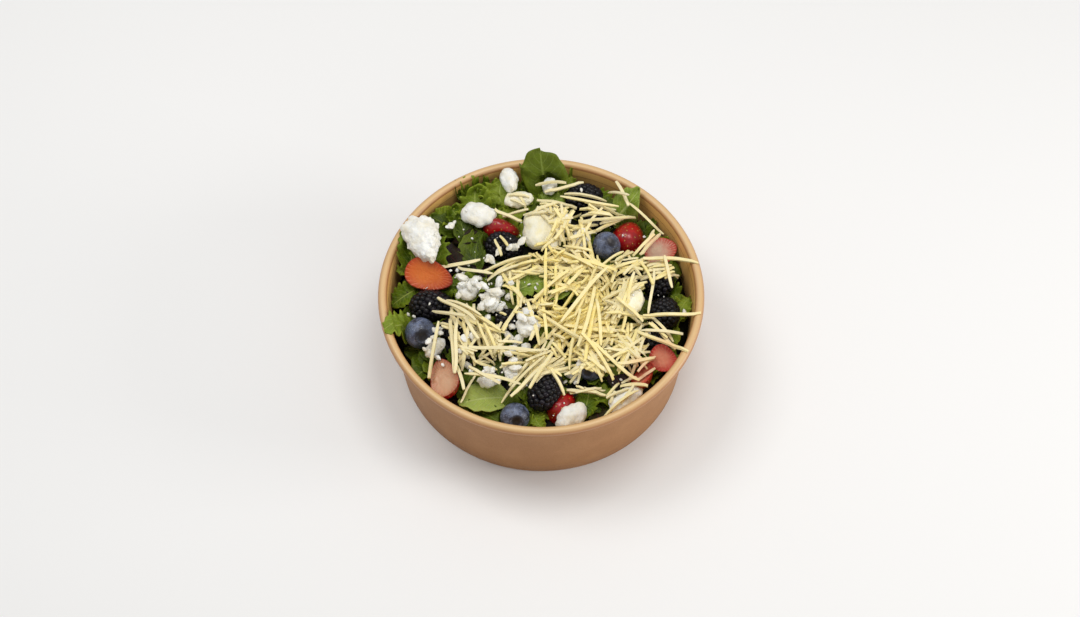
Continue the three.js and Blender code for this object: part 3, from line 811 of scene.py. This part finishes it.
def makeBrambles():
    paint = paintBramble()
    dice = random.Random(drupelet["seed"])
    for item in brambles:
        radii = Vector(item["radii"])
        shape = bmesh.new()
        tone = shape.verts.layers.float.new("tone")
        bmesh.ops.create_icosphere(shape, subdivisions=3, radius=1,
                                   matrix=item["place"] @ stretch(radii * drupelet["core"] * mm))
        skin = 4 * pi * ((radii.x * radii.y + radii.y * radii.z + radii.x * radii.z) / 3)
        count = round(skin * drupelet["cover"] / (drupelet["spacing"] ** 2 * hexagon))
        for ball in evenDirections(count, dice, 0.05):
            size = drupelet["radius"] * dice.uniform(0.85, 1.12)
            taper = 1 - 0.12 * ball.x
            middle = Vector(((radii.x - size) * ball.x, (radii.y - size) * ball.y * taper,
                             (radii.z - size) * ball.z * taper))
            made = bmesh.ops.create_icosphere(shape, subdivisions=2, radius=size * mm,
                                              matrix=item["place"] @ Matrix.Translation(middle * mm))
            shade = dice.random()
            for vert in made["verts"]:
                vert[tone] = shade
        fitToNode(shape, item["node"])
        makePiece(item["node"] + "_berry", shape, [paint], [item["node"]])


makeBrambles()
print("bramble berries")


# blueberries

# the crown's rim and its width in degrees off the axis, its depth and height as shares of the radius
crown = {"edge": 26, "width": 5, "pit": 0.2, "rise": 0.1, "points": 5, "flat": 0.9}


def paintBlueberry():
    paint = Paint("blueberry_skin")
    # pale patches of the skin's waxy bloom
    palePatch = paint.noise(4, detail=5, rough=0.65)
    colour = paint.mix((34, 36, 50), (108, 120, 150), palePatch.above(0.36, 0.68))
    scuffs = paint.noise(1.2, detail=3).above(0.58, 0.66)
    colour = paint.mix(colour, (26, 24, 34), scuffs * 0.7)
    specks = paint.noise(0.7, detail=1).above(0.66, 0.7)
    colour = paint.mix(colour, (178, 184, 196), specks * 0.6)
    colour = paint.mix(colour, (22, 18, 24), paint.stored("crown"))
    paint.shade(Base_Color=colour, Roughness=palePatch * 0.25 + 0.35, Coat_Weight=0.1, Coat_Roughness=0.3,
                Normal=paint.bump(paint.noise(0.5), 0.03))
    return paint


def makeBlueberries():
    paint = paintBlueberry()
    for item in blueberries:
        radius = item["radius"]
        shape = bmesh.new()
        dark = shape.verts.layers.float.new("crown")
        bmesh.ops.create_uvsphere(shape, u_segments=60, v_segments=40, radius=1)
        for vert in shape.verts:
            lean = degrees(acos(max(-1, min(1, vert.co.z))))
            turn = atan2(vert.co.y, vert.co.x)
            star = 0.5 + 0.5 * cos(crown["points"] * turn)
            rim = exp(-((lean - crown["edge"]) / crown["width"]) ** 2)
            pit = max(0, 1 - lean / crown["edge"]) ** 0.6 if lean < crown["edge"] else 0
            vert.co.z *= crown["flat"]
            vert.co *= 1 + crown["rise"] * rim * (0.3 + 0.7 * star)
            vert.co.z -= crown["pit"] * pit
            vert[dark] = max(min(1, 1.6 * pit), 0.7 * rim)
        spot = item["place"] @ turned(0, 90, 0) @ stretch((radius * mm,) * 3)
        bmesh.ops.transform(shape, matrix=spot, verts=shape.verts[:])
        fitToNode(shape, item["node"])
        makePiece(item["node"] + "_fruit", shape, [paint], [item["node"]])


makeBlueberries()
print("blueberries")


# strawberries

seedling = {"spacing": 3, "size": (0.6, 0.36, 0.25), "dimple": (1, 0.26), "seed": 8}
fleshColours = {  # rim, flesh and middle of the cut face
    "pink": ((170, 22, 20), (208, 96, 78), (236, 204, 180)),
    "orange": ((128, 16, 12), (190, 74, 18), (216, 112, 38)),
    "pale": ((146, 32, 24), (184, 124, 92), (206, 166, 134)),
    "red": ((150, 20, 18), (196, 58, 44), (220, 140, 110)),
}


def paintSkin():
    paint = Paint("strawberry_skin")
    ripe = paint.noise(6, detail=2)
    colour = paint.mix((112, 8, 12), (182, 18, 22), ripe.above(0.3, 0.7))
    paint.shade(Base_Color=colour, Roughness=0.3, Coat_Weight=0.3, Coat_Roughness=0.1,
                Normal=paint.bump(paint.noise(0.8), 0.05), Subsurface_Weight=0.08,
                Subsurface_Radius=(1, 0.1, 0.05), Subsurface_Scale=0.002)
    return paint


def paintFlesh(name, rim, flesh, middle):
    paint = Paint("strawberry_flesh_" + name)
    depth = paint.stored("depth")
    grain = paint.noise(1.3, detail=4)
    blotch = paint.noise(4, detail=3, twist=0.8)
    rays = (paint.stored("around") * 26 + blotch * 4).sine().above(0.3, 1)
    rays = rays * depth.above(0.15, 0.3) * (1 - depth.above(0.6, 0.85))
    colour = paint.mix(rim, flesh, (depth + blotch * 0.35).above(0.3, 0.62))
    colour = paint.mix(colour, middle, (depth + blotch * 0.5).above(0.8, 1.3) + rays * 0.35)
    paint.shade(Base_Color=colour, Roughness=grain * 0.2 + 0.25, Coat_Weight=0.2, Coat_Roughness=0.15,
                Normal=paint.bump(grain + blotch - rays * 0.6, 0.25), Subsurface_Weight=0.12,
                Subsurface_Radius=(1, 0.4, 0.3), Subsurface_Scale=0.002)
    return paint


def strawberryRound(x):
    # the berry's half width at x of its length, from the stem end at -1 to the tip at 1
    return (1 - abs(x) ** 2.2) ** 0.5 * (1 - 0.28 * x) if abs(x) < 1 else 0


def makeStrawberries():
    skin = paintSkin()
    seeds = Paint("strawberry_seed")
    seeds.shade(Base_Color=seeds.mix((214, 168, 84), (150, 96, 34), seeds.noise(0.6)), Roughness=0.4)
    fleshes = {name: paintFlesh(name, *colours) for name, colours in fleshColours.items()}
    dice = random.Random(seedling["seed"])
    for item in strawberries:
        shape = bmesh.new()
        depth, around = [shape.verts.layers.float.new(name) for name in ("depth", "around")]
        bmesh.ops.create_uvsphere(shape, u_segments=72, v_segments=44, radius=1, matrix=turned(0, 90, 0))
        skinVerts = []
        for vert in shape.verts:
            x = vert.co.x
            flat = vert.co.yz.length
            wide = strawberryRound(x) / flat if flat > 1e-4 else 0
            vert.co.y *= wide
            vert.co.z *= wide
            if vert.co.z > 1e-4:  # the cut face: flat, a little proud inside its rim
                vert[depth] = vert.co.z
                vert[around] = abs(atan2(vert.co.y, vert.co.x - 0.1))
                vert.co.z = 0.05 * sin(pi * min(1, vert.co.z) ** 0.7) - 0.05 * vert.co.z
            elif vert.co.z < -0.06:
                skinVerts.append(vert)
        for face in shape.faces:
            face.material_index = 1 if max(vert[depth] for vert in face.verts) > 0 else 0
        place = item["place"] @ Matrix.Translation((0, 0, 0.5 * item["radii"][2] * mm))
        bmesh.ops.transform(shape, matrix=place @ stretch(fromMm(*item["radii"])), verts=shape.verts[:])
        fitToNode(shape, item["node"])
        shape.normal_update()
        nests = seedNests(skinVerts, dice)
        wide, deep = seedling["dimple"]
        for nest, out in nests:
            for vert in skinVerts:
                gap = (vert.co - nest).length / mm
                if gap < 1.8 * wide:
                    vert.co -= out * deep * mm * exp(-(gap / wide) ** 2 * 1.5)
        for nest, out in nests:
            turn = out.to_track_quat("Z", "X").to_matrix().to_4x4()
            spot = Matrix.Translation(nest - out * 0.22 * mm) @ turn @ stretch(fromMm(*seedling["size"]))
            made = bmesh.ops.create_icosphere(shape, subdivisions=1, radius=1, matrix=spot)
            for vert in made["verts"]:
                for touching in vert.link_faces:
                    touching.material_index = 2
        paints = [skin, fleshes[item["flesh"]], seeds]
        makePiece(item["node"] + "_piece", shape, paints, [item["node"]])


def seedNests(verts, dice):
    # picks skin points at about even distances
    nests = []
    shuffled = verts[:]
    dice.shuffle(shuffled)
    for vert in shuffled:
        if all((vert.co - nest).length > seedling["spacing"] * mm for nest, _ in nests):
            nests.append((vert.co.copy(), vert.normal.copy()))
    return nests


makeStrawberries()
print("strawberries")


# feta

lump = {
    "core": 0.8,
    "ball": (0.6, 0.25),  # a ball of curd's share of the lump, of smooth and of coarse feta
    "turns": ((0, 180), (-60, 60), (-60, 60)),
    "voxel": 0.5,
    "grain": 0.35,
    "seed": 31,
}


def paintFeta(name, pale, deep):
    paint = Paint(name)
    cream = paint.noise(6, detail=4)
    pits = paint.cells(0.9)
    colour = paint.mix(pale, deep, cream.above(0.4, 0.75) * 0.8)
    paint.shade(Base_Color=colour, Roughness=0.7, Subsurface_Weight=0.15, Subsurface_Radius=(1, 0.9, 0.7),
                Subsurface_Scale=0.0015, Normal=paint.bump(pits + paint.noise(0.5) * 0.6, 0.12))
    return paint


def melted(shape, voxel):
    # one closed skin round everything in the shape
    mesh = bpy.data.meshes.new("melting")
    shape.to_mesh(mesh)
    shape.clear()
    lumps = inScene("melting", mesh)
    melt = lumps.modifiers.new("melt", "REMESH")
    melt.mode = "VOXEL"
    melt.voxel_size = voxel
    whole = bpy.data.meshes.new_from_object(lumps.evaluated_get(bpy.context.evaluated_depsgraph_get()))
    shape.from_mesh(whole)
    bpy.data.objects.remove(lumps)
    bpy.data.meshes.remove(mesh)
    bpy.data.meshes.remove(whole)
    for _ in range(2):
        bmesh.ops.smooth_vert(shape, verts=shape.verts[:], factor=0.5, use_axis_x=True, use_axis_y=True,
                              use_axis_z=True)
    return shape


def curd(radii, grain, voxel, dice, taper=0):
    # small balls of curd pressed together round a core, in millimetres about the origin
    radii = Vector(radii)
    mean = sum(radii) / 3
    smooth, coarse = lump["ball"]
    ball = mean * (smooth + (coarse - smooth) * grain)
    shape = bmesh.new()
    bmesh.ops.create_icosphere(shape, subdivisions=3, radius=1, matrix=stretch(radii * lump["core"]))
    count = max(7, round(3.4 * (mean / ball) ** 2))
    for direction in evenDirections(count, dice, 0.25):
        size = ball * dice.uniform(0.75, 1.3)
        reach = dice.uniform(0.84, 0.98)
        middle = Vector([(radii[i] - size) * direction[i] * reach for i in range(3)])
        place = Matrix.Translation(middle) @ turned(*[dice.uniform(*turns) for turns in lump["turns"]])
        place = place @ stretch((size * dice.uniform(0.85, 1.4), size, size * dice.uniform(0.75, 1)))
        bmesh.ops.create_icosphere(shape, subdivisions=1 if grain > 0.4 else 2, radius=1, matrix=place)
    melted(shape, voxel)
    for vert in shape.verts:
        vert.co.x *= 1 - taper * (0.5 - vert.co.y / radii.y / 2)
        coarse, middling, fine = [noise.noise(vert.co * finer) for finer in (0.5, 1.1, 2.6)]
        fine = coarse + 0.8 * middling + 0.5 * fine
        vert.co += vert.co.normalized() * lump["grain"] * (0.15 + 0.85 * grain) * fine
    return shape


fetaPaint = paintFeta("feta_curd", (238, 238, 234), (222, 212, 184))
creamPaint = paintFeta("feta_cream", (240, 236, 216), (240, 226, 170))


def makeFetas():
    dice = random.Random(lump["seed"])
    for item in fetas:
        voxel = lump["voxel"] if max(item["radii"]) > 7 else 0.75 * lump["voxel"]
        shape = curd(item["radii"], item["grain"], voxel, dice, item.get("taper", 0))
        bmesh.ops.transform(shape, matrix=item["place"] @ stretch((mm, mm, mm)), verts=shape.verts[:])
        fitToNode(shape, item["node"])
        paint = creamPaint if item.get("cream") else fetaPaint
        makePiece(item["node"] + "_lump", shape, [paint], [item["node"]])


makeFetas()
print("feta")


# grated cheese, laid on what is below it

class Skyline:
    # the highest surface over each square millimetre
    def __init__(self, pieces):
        self.half = 90
        meshes = [piece.data for piece in pieces]
        trees = [BVHTree.FromPolygons([vert.co for vert in mesh.vertices],
                                      [polygon.vertices for polygon in mesh.polygons]) for mesh in meshes]
        self.heights = {}
        down = Vector((0, 0, -1))
        for x in range(-self.half, self.half + 1):
            for y in range(-self.half, self.half + 1):
                hits = [tree.ray_cast(fromMm(x, y, 120), down)[0] for tree in trees]
                self.heights[x, y] = max([hit.z / mm for hit in hits if hit] or [0])
        self.base = dict(self.heights)
        self.crossed = set()

    def over(self, x, y, reach=1):
        i, j = round(x), round(y)
        return max(self.heights.get((i + a, j + b), 0) for a in range(-reach, reach + 1)
                   for b in range(-reach, reach + 1))

    def raiseTo(self, x, y, z):
        cell = round(x), round(y)
        self.heights[cell] = max(self.heights.get(cell, 0), z)


def unlessBare(x, y, z, chance):
    # whether a shred may lie here: never over what the camera sees bare, seldom over what few shreds cross
    seen = y + seenShift * (z - seenLevel)
    return all(hypot(x - a, seen - b) > radius or chance < (share[0] if share else 0)
               for a, b, radius, *share in bare)


# feta crumbs: where each lies and its half width
placedCrumbs = [
    (-47, 41, 2.6), (-45, 43.5, 1.8), (-48.5, 39, 1.4), (-25, 20, 3.6), (-22, 22.5, 2.4), (-28, 18, 2),
    (-13, 26, 3.8), (-9.5, 28, 2.6), (-16, 24, 2.2), (-39, 8, 3.4), (-34, 6, 3.2), (-40, 3, 2.8),
    (-36, 1, 2.4), (-43, 16, 1.8), (-37, 19, 1.2), (-40, 14, 1.3), (-44, 12.5, 1), (-28, 1, 3),
    (-24, -3, 3.8), (-20, 2, 3.4), (-25, -8, 3.4), (-19, -6, 3), (-27, -13, 2.6), (-16, 4, 2.4),
    (-22, 6, 2.6), (-30, -4, 2), (-11, -13, 3), (-6, -14, 3.6), (-9, -19, 3.6), (-14, -19, 2.6),
    (-4, -20, 3), (-17, -23, 3.4), (-12, -26, 4.2), (-7, -29, 3.2), (-15, -31, 3.6), (-11, -34, 3),
    (-31, -1, 3.4), (-20, -8, 3.6), (-30, -9, 3), (-21, 5, 3), (-17, -1, 3), (-33, 11, 2.6), (-42, -1, 2.4),
    (-51, -18, 2.6), (-53, -21, 2.2), (-54, -25, 2.8), (-56, -28.5, 2.2), (-58.5, -31.5, 1.8),
    (-51, -24, 1.8), (-37, -26, 3), (-38, -29, 2.4), (-34, -28, 2.4), (-40, -34, 2), (-37, -38, 2.4),
    (-35, -42, 1.8), (-14, -40, 3.4), (-12, -44, 3), (-17, -38, 2.2), (-27, -44, 3), (-24, -46, 2.6),
    (-29, -47, 2.2), (-21, -48, 2.4), (14, -42, 3), (17, -45, 2.6), (19, -41, 2), (12, -46, 1.6),
    (22, 34, 2.6), (19, 31, 2.2), (24, 30, 1.8), (14, 40, 2.4), (17, 43, 1.8), (72.5, -6, 2),
    (-67, -9, 1.3), (-64.5, -11, 1.5), (-35.5, 34, 1.1), (-51, -36, 1.8), (-49, -40, 1.4), (-6, 4, 1.2),
    (-3, 1, 1), (14, 2, 1), (12, -1, 0.8), (28, 40, 1.6), (21, 60, 1.2), (24, 22, 1.4), (54, -22, 1.2),
    (32, -40, 1.4), (45, -38, 1.2),
]
crumbScatter = {"count": 130, "seed": 17, "size": (0.35, 1), "at": (-8, -10), "spread": (34, 32), "reach": 66}
crumbMoulds = {"each": 6, "fineFrom": 1.5, "voxels": {"fine": 0.15, "plain": 0.28}}


def makeCrumbs(skyline):
    dice = random.Random(crumbScatter["seed"])
    moulds = {}
    for kind, voxel in crumbMoulds["voxels"].items():
        shapes = [curd((1, dice.uniform(0.6, 1), 0.7), 1, voxel, dice) for _ in range(crumbMoulds["each"])]
        moulds[kind] = [toMesh("crumb_mould", shape) for shape in shapes]
    crumbs = list(placedCrumbs)
    for _ in range(crumbScatter["count"]):
        x, y = [dice.gauss(crumbScatter["at"][i], crumbScatter["spread"][i]) for i in range(2)]
        if hypot(x, y) < crumbScatter["reach"]:
            crumbs.append((x, y, dice.uniform(*crumbScatter["size"])))
    pile = bmesh.new()
    for x, y, size in crumbs:
        under = skyline.over(x, y)
        before = len(pile.verts)
        pile.from_mesh(dice.choice(moulds["fine" if size > crumbMoulds["fineFrom"] else "plain"]))
        pile.verts.ensure_lookup_table()
        turns = [dice.uniform(0, 360), dice.uniform(-50, 50), dice.uniform(-50, 50)]
        sizes = [size * dice.uniform(*limits) for limits in ((0.85, 1.35), (0.8, 1.1), (0.7, 1))]
        place = Matrix.Translation(fromMm(x, y, under + 0.45 * size)) @ turned(*turns)
        place = place @ stretch(fromMm(*sizes))
        bmesh.ops.transform(pile, matrix=place, verts=pile.verts[before:])
        span = ceil(0.6 * size)
        for a in range(-span, span + 1):
            for b in range(-span, span + 1):
                if hypot(a, b) < 0.8 * size:
                    skyline.raiseTo(x + a, y + b, under + 1.1 * size)
    makePiece("feta_crumbs", pile, [fetaPaint])
    for mesh in moulds["fine"] + moulds["plain"]:
        bpy.data.meshes.remove(mesh)


shred = {
    "seed": 3,
    "tries": 16,
    "width": (1.25, 1.8),
    "thick": (0.9, 1.3),
    "steepest": 0.6,
    "pieces": 8,
    "samples": 8,  # places each side of its middle where it feels what it lies on
    "deepest": {"at": (14, -2), "reach": 48},  # where the cheese is most yellow, and how far off it is palest
    "juice": 13,  # how far strawberry juice soaks in
    # bare spots that get one more: how thick the pile is there, what share of them, on which lattice
    "gap": {"least": 1.1, "filled": 0.9, "reach": (-64, 70), "step": 2, "tries": 8, "length": (12, 30)},
}

# laid one after the other: which share of each drift, how much of its thickness a shred lifts those above it,
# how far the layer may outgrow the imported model's pile, how high that pile is where the layer begins, whether
# shreds span the dips, and how much of their length they keep
layers = [
    {"share": 1.6, "rise": 0.3, "above": 1.2, "least": 1.5, "stiff": False, "cut": 0.7},
    {"share": 1.15, "rise": 1, "above": 4.2, "least": -1, "stiff": True, "cut": 1},
]

# drifts of shreds: middle, spread, how many, heading and how far it strays, shortest and longest
drifts = [
    ((13, 31), (12, 12), 74, 60, 70, (14, 30)),
    ((15, 42), (8, 8), 16, 70, 60, (12, 24)),
    ((14, 6), (20, 13), 105, 30, 90, (20, 36)),
    ((30, -16), (18, 15), 135, 45, 40, (20, 40)),
    ((18, -22), (24, 12), 80, 30, 80, (20, 38)),
    ((3, -37), (18, 7), 52, 42, 22, (18, 34)),
    ((-29, -24), (12, 12), 66, -62, 30, (14, 30)),
    ((-43, -29), (7, 10), 26, -84, 16, (16, 30)),
    ((-40, -14), (8, 7), 16, -38, 16, (14, 26)),
    ((-20, -30), (14, 9), 30, 20, 50, (12, 26)),
    ((-20, 9), (13, 8), 44, 12, 26, (12, 28)),
    ((-6, -8), (14, 14), 34, 30, 90, (12, 26)),
    ((-16, -42), (16, 6), 26, 30, 60, (10, 24)),
    ((-13, 55), (7, 5), 12, -25, 40, (8, 16)),
    ((25, 52), (15, 6), 15, -8, 22, (12, 28)),
    ((58, 17), (12, 7), 17, 22, 26, (12, 26)),
    ((56, 28), (6, 6), 6, 50, 16, (12, 20)),
    ((38, -38), (13, 9), 34, -48, 26, (12, 28)),
    ((30, -48), (14, 6), 18, 20, 60, (10, 22)),
    ((55, -32), (9, 10), 10, -35, 40, (10, 22)),
    ((12, -12), (34, 30), 90, 0, 90, (4, 10)),
]

# places that the camera sees bare: middle and radius at the leaves' level, and the share of shreds allowed
seenShift, seenLevel = 0.62, 48
bare = [
    (-62, 35, 18), (-56, 12, 13), (-57, -2, 11.5), (-61, -19, 9.5), (-32, 62, 15), (-46, 41, 12),
    (-33, 51, 10), (-37, 31, 11), (-20, 38, 9), (-17, 73, 9), (0, 80, 13), (5, 71, 6), (-4, 43, 8.5),
    (34, 34, 8.5), (44, 39, 8.5), (24, 67, 6.5), (44, 62, 7), (62, 5, 7.5), (64, -5, 7), (50, -1, 6.5),
    (3, -55, 7.5), (8, -62, 7), (17, -67, 9), (-27, -58, 10), (-13, -69, 9), (-47, -50, 8),
    (-5, 8.5, 6.5, 0.015), (13, 0, 5, 0.015), (-36, 5, 5), (-22, -1, 6), (-9, -16, 6), (-15, -42, 3.5),
    (-54, -27, 4.5), (-47, 12, 6), (-12, -28, 6, 0.08), (-23, -5, 9, 0.02), (61, -31, 5), (64, -38, 4),
    (25, -63, 5), (5, -71, 8),
]

# long shreds that stand out, each from one end to the other
longShreds = [
    ((-55, 16.5), (-31, 20.5), (51, 52)), ((10, 57), (40, 50)), ((12, 59), (34, 56)), ((20, 38), (49, 49)),
    ((45, 53), (63, 38)), ((52, 19), (80, 16)), ((51, -14), (80, -15)), ((50, -22), (71, -24)),
    ((48, -23), (73, -36)), ((-51, -19), (-56, -47)), ((-46, -18), (-43, -46)), ((-43, -17), (-41, -47)),
    ((-40, -14), (-32, -30)), ((-53, -4), (-32, -22)), ((-55, -10), (-38, -20)), ((-48, -4), (-30, -16)),
    ((-36, -33), (-4, -37)), ((39, 65), (45, 50)), ((35, 62), (45, 52)), ((50, 22), (62, 36)),
    ((47, 22), (58, 34)), ((58, 12), (53, -14)), ((63, 20), (66, 2)), ((51, 16), (56, 2)),
    ((-20, -59), (2, -38)), ((-14, -62), (6, -38)), ((-6, -57), (6, -36)), ((31, -66), (48, -54)),
    ((2, 60), (22, 67)), ((-3, 63.4), (13, 65), (59.4, 60)), ((-24, 48), (-10, 42)), ((-21, 32), (-17, 22)),
    ((-24, 30), (-20, 20)), ((48, -45), (57, -34)), ((26, -30), (48, -50)), ((20, -28), (36, -48)),
    ((38, -42), (56, -36)), ((-38, -48), (-10, -55)), ((-36, -44), (-20, -54)),
]


# cut strawberries whose juice stains the shreds
juicy = [middleOf(strawberries[i]["node"]) / mm for i in (1, 6, 7)]
shredReach = wallRadius(50) - 3  # how far from the bowl's middle a drift's shreds may lie


def pileTop(x, y, layer):
    return heapTop(x, y) + pileHeight(x, y) + layer["above"]


def mouldShred():
    # a square rod along Z, cut across so that it can bend
    shape = bmesh.new()
    bmesh.ops.create_cube(shape, size=1)
    for i in range(1, shred["pieces"]):
        bmesh.ops.bisect_plane(shape, geom=shape.verts[:] + shape.edges[:] + shape.faces[:],
                               plane_co=(0, 0, i / shred["pieces"] - 0.5), plane_no=(0, 0, 1))
    return toMesh("shred_mould", shape)


def restingLine(heights, stiff):
    # height and slope of a strip on the two supports that it meets first, or of a soft one along the ground
    half = len(heights) // 2
    if not stiff:
        left, right = [sum(height for _, height in part) / half for part in (heights[:half], heights[-half:])]
        return (left + right) / 2 + 0.3, (right - left) / (heights[-1][0])
    best = (-1, 0)
    for near, low in heights[:half]:
        for far, high in heights[half + 1:]:
            slope = (high - low) / (far - near)
            best = max(best, (low - slope * near, slope))
    level, slope = best
    return max(level, heights[half][1]), slope


def layShred(pile, mould, skyline, middle, heading, length, dice, layer, limit=True, heights=None):
    length *= layer["cut"]
    bow = dice.gauss(0, 0.022) * length
    hook = dice.gauss(0, 0.022) * length
    width = dice.uniform(*shred["width"]) * min(1, 0.6 + length / 50)
    thick = dice.uniform(*shred["thick"]) * min(1, 0.6 + length / 50)
    cosine, sine = cos(heading), sin(heading)

    def flat(s):
        share = 2 * s / length
        side = bow * (1 - share * share) + hook * share ** 3
        return middle[0] + s * cosine - side * sine, middle[1] + s * sine + side * cosine

    steps = shred["samples"]
    samples = [(s, *flat(s)) for s in [length * (i / (2 * steps) - 0.5) for i in range(2 * steps + 1)]]
    if heights:
        level, slope = sum(heights) / 2, (heights[1] - heights[0]) / length
    else:
        level, slope = restingLine([(s, skyline.over(x, y)) for s, x, y in samples], layer["stiff"])

    if limit:
        if abs(slope) > shred["steepest"] or max(hypot(x, y) for _, x, y in samples) > shredReach:
            return False
        chance = dice.random()
        if not all(unlessBare(x, y, level + slope * s, chance) for s, x, y in samples[::2]):
            return False
        ground = skyline.base[round(middle[0]), round(middle[1])]
        if level > max(ground + 1.6, pileTop(*middle, layer)) or pileHeight(*middle) < layer["least"]:
            return False
    before = len(pile.verts)
    pile.from_mesh(mould)
    pile.verts.ensure_lookup_table()
    tone, juice = [pile.verts.layers.float[name] for name in ("tone", "juice")]
    off = dist(middle, shred["deepest"]["at"]) / shred["deepest"]["reach"]
    shade = max(-0.3, min(1.3, off + dice.uniform(-0.6, 0.6)))
    lean, twist, droop = [dice.uniform(*limits) for limits in ((-0.4, 0.4), (-0.4, 0.4), (0.3, 2.5))]
    perch = thick * 0.5 * layer["rise"]
    ends = [dice.uniform(0.4, 0.9), dice.uniform(0.4, 0.9)]

    def lie(s):
        share = 2 * s / length
        height = level + slope * s
        return height - min(droop * share * share, max(0, height - skyline.over(*flat(s))) * 0.9)

    lies = [lie(s) for s, _, _ in samples]
    for vert in pile.verts[before:]:
        share = 2 * vert.co.z
        s = share * length / 2
        x, y = flat(s)
        taper = 1 - (1 - ends[share > 0]) * abs(share) ** 6
        roll = lean + twist * share
        across = vert.co.x * width * taper * cos(roll) - vert.co.y * thick * taper * sin(roll)
        up = vert.co.x * width * taper * sin(roll) + vert.co.y * thick * taper * cos(roll)
        z = lies[round(steps + steps * share)] + up + perch
        vert.co = fromMm(x - across * sine, y + across * cosine, z)
        vert[tone] = shade
        vert[juice] = max(0, 1 - min(hypot(x - spot.x, y - spot.y) for spot in juicy) / shred["juice"])
    for (s, x, y), z in zip(samples, lies):
        for side in (-0.5, 0, 0.5):
            skyline.raiseTo(x - side * sine, y + side * cosine, z + thick * layer["rise"])
            skyline.crossed.add((round(x - side * sine), round(y + side * cosine)))
    return True


def paintCheese():
    paint = Paint("grated_cheese")
    tone = paint.stored("tone")
    cloud = paint.noise(4, detail=3)
    colour = paint.mix((246, 226, 140), (234, 221, 174), tone.above(-0.2, 1.2))
    colour = paint.mix(colour, (250, 242, 208), cloud.above(0.5, 0.8) * 0.5)
    stain = (paint.stored("juice") + cloud * 0.5).above(0.55, 1.1)
    colour = paint.mix(colour, (224, 158, 122), stain * 0.6)
    paint.shade(Base_Color=colour, Roughness=0.5, Normal=paint.bump(paint.noise(0.7), 0.08),
                Subsurface_Weight=0.1, Subsurface_Radius=(1, 0.8, 0.4), Subsurface_Scale=0.001)
    return paint


def makeCheese(skyline):
    dice = random.Random(shred["seed"])
    mould = mouldShred()
    pile = bmesh.new()
    pile.verts.layers.float.new("tone")
    pile.verts.layers.float.new("juice")
    for layer in layers:
        wanted = [drift for drift in drifts for _ in range(round(drift[2] * layer["share"]))]
        dice.shuffle(wanted)
        for middle, spread, _, heading, stray, lengths in wanted:
            for _ in range(shred["tries"]):
                spot = [dice.gauss(middle[i], spread[i] * 0.6) for i in range(2)]
                turn = radians(heading + dice.uniform(-stray, stray))
                if layShred(pile, mould, skyline, spot, turn, dice.uniform(*lengths), dice, layer):
                    break
    gap = shred["gap"]
    lattice = range(*gap["reach"], gap["step"])
    spots = [(x, y) for x in lattice for y in lattice if dice.random() < gap["filled"]
             and pileHeight(x, y) > gap["least"] and unlessBare(x, y, skyline.over(x, y), 1)]
    dice.shuffle(spots)
    for spot in spots:
        for _ in range(gap["tries"] if spot not in skyline.crossed else 0):
            length, turn = dice.uniform(*gap["length"]), dice.uniform(0, tau)
            slide = dice.uniform(-0.4, 0.4) * length
            middle = spot[0] + slide * cos(turn), spot[1] + slide * sin(turn)
            if layShred(pile, mould, skyline, middle, turn, length, dice, layers[-1]):
                break
    print("drifts:", len(pile.verts) // len(mould.vertices), "shreds")
    for start, end, *heights in longShreds:
        run = Vector(end) - Vector(start)
        middle = (Vector(end) + Vector(start)) / 2
        heading = atan2(run.y, run.x)
        layShred(pile, mould, skyline, middle, heading, run.length, dice, layers[-1], False, *heights)
    makePiece("cheese_strands", pile, [paintCheese()], ["cheese_shreds"], smooth=False)
    bpy.data.meshes.remove(mould)


skyline = Skyline([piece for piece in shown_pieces() if piece.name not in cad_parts])
makeCrumbs(skyline)
print("feta crumbs")
makeCheese(skyline)
print("grated cheese")
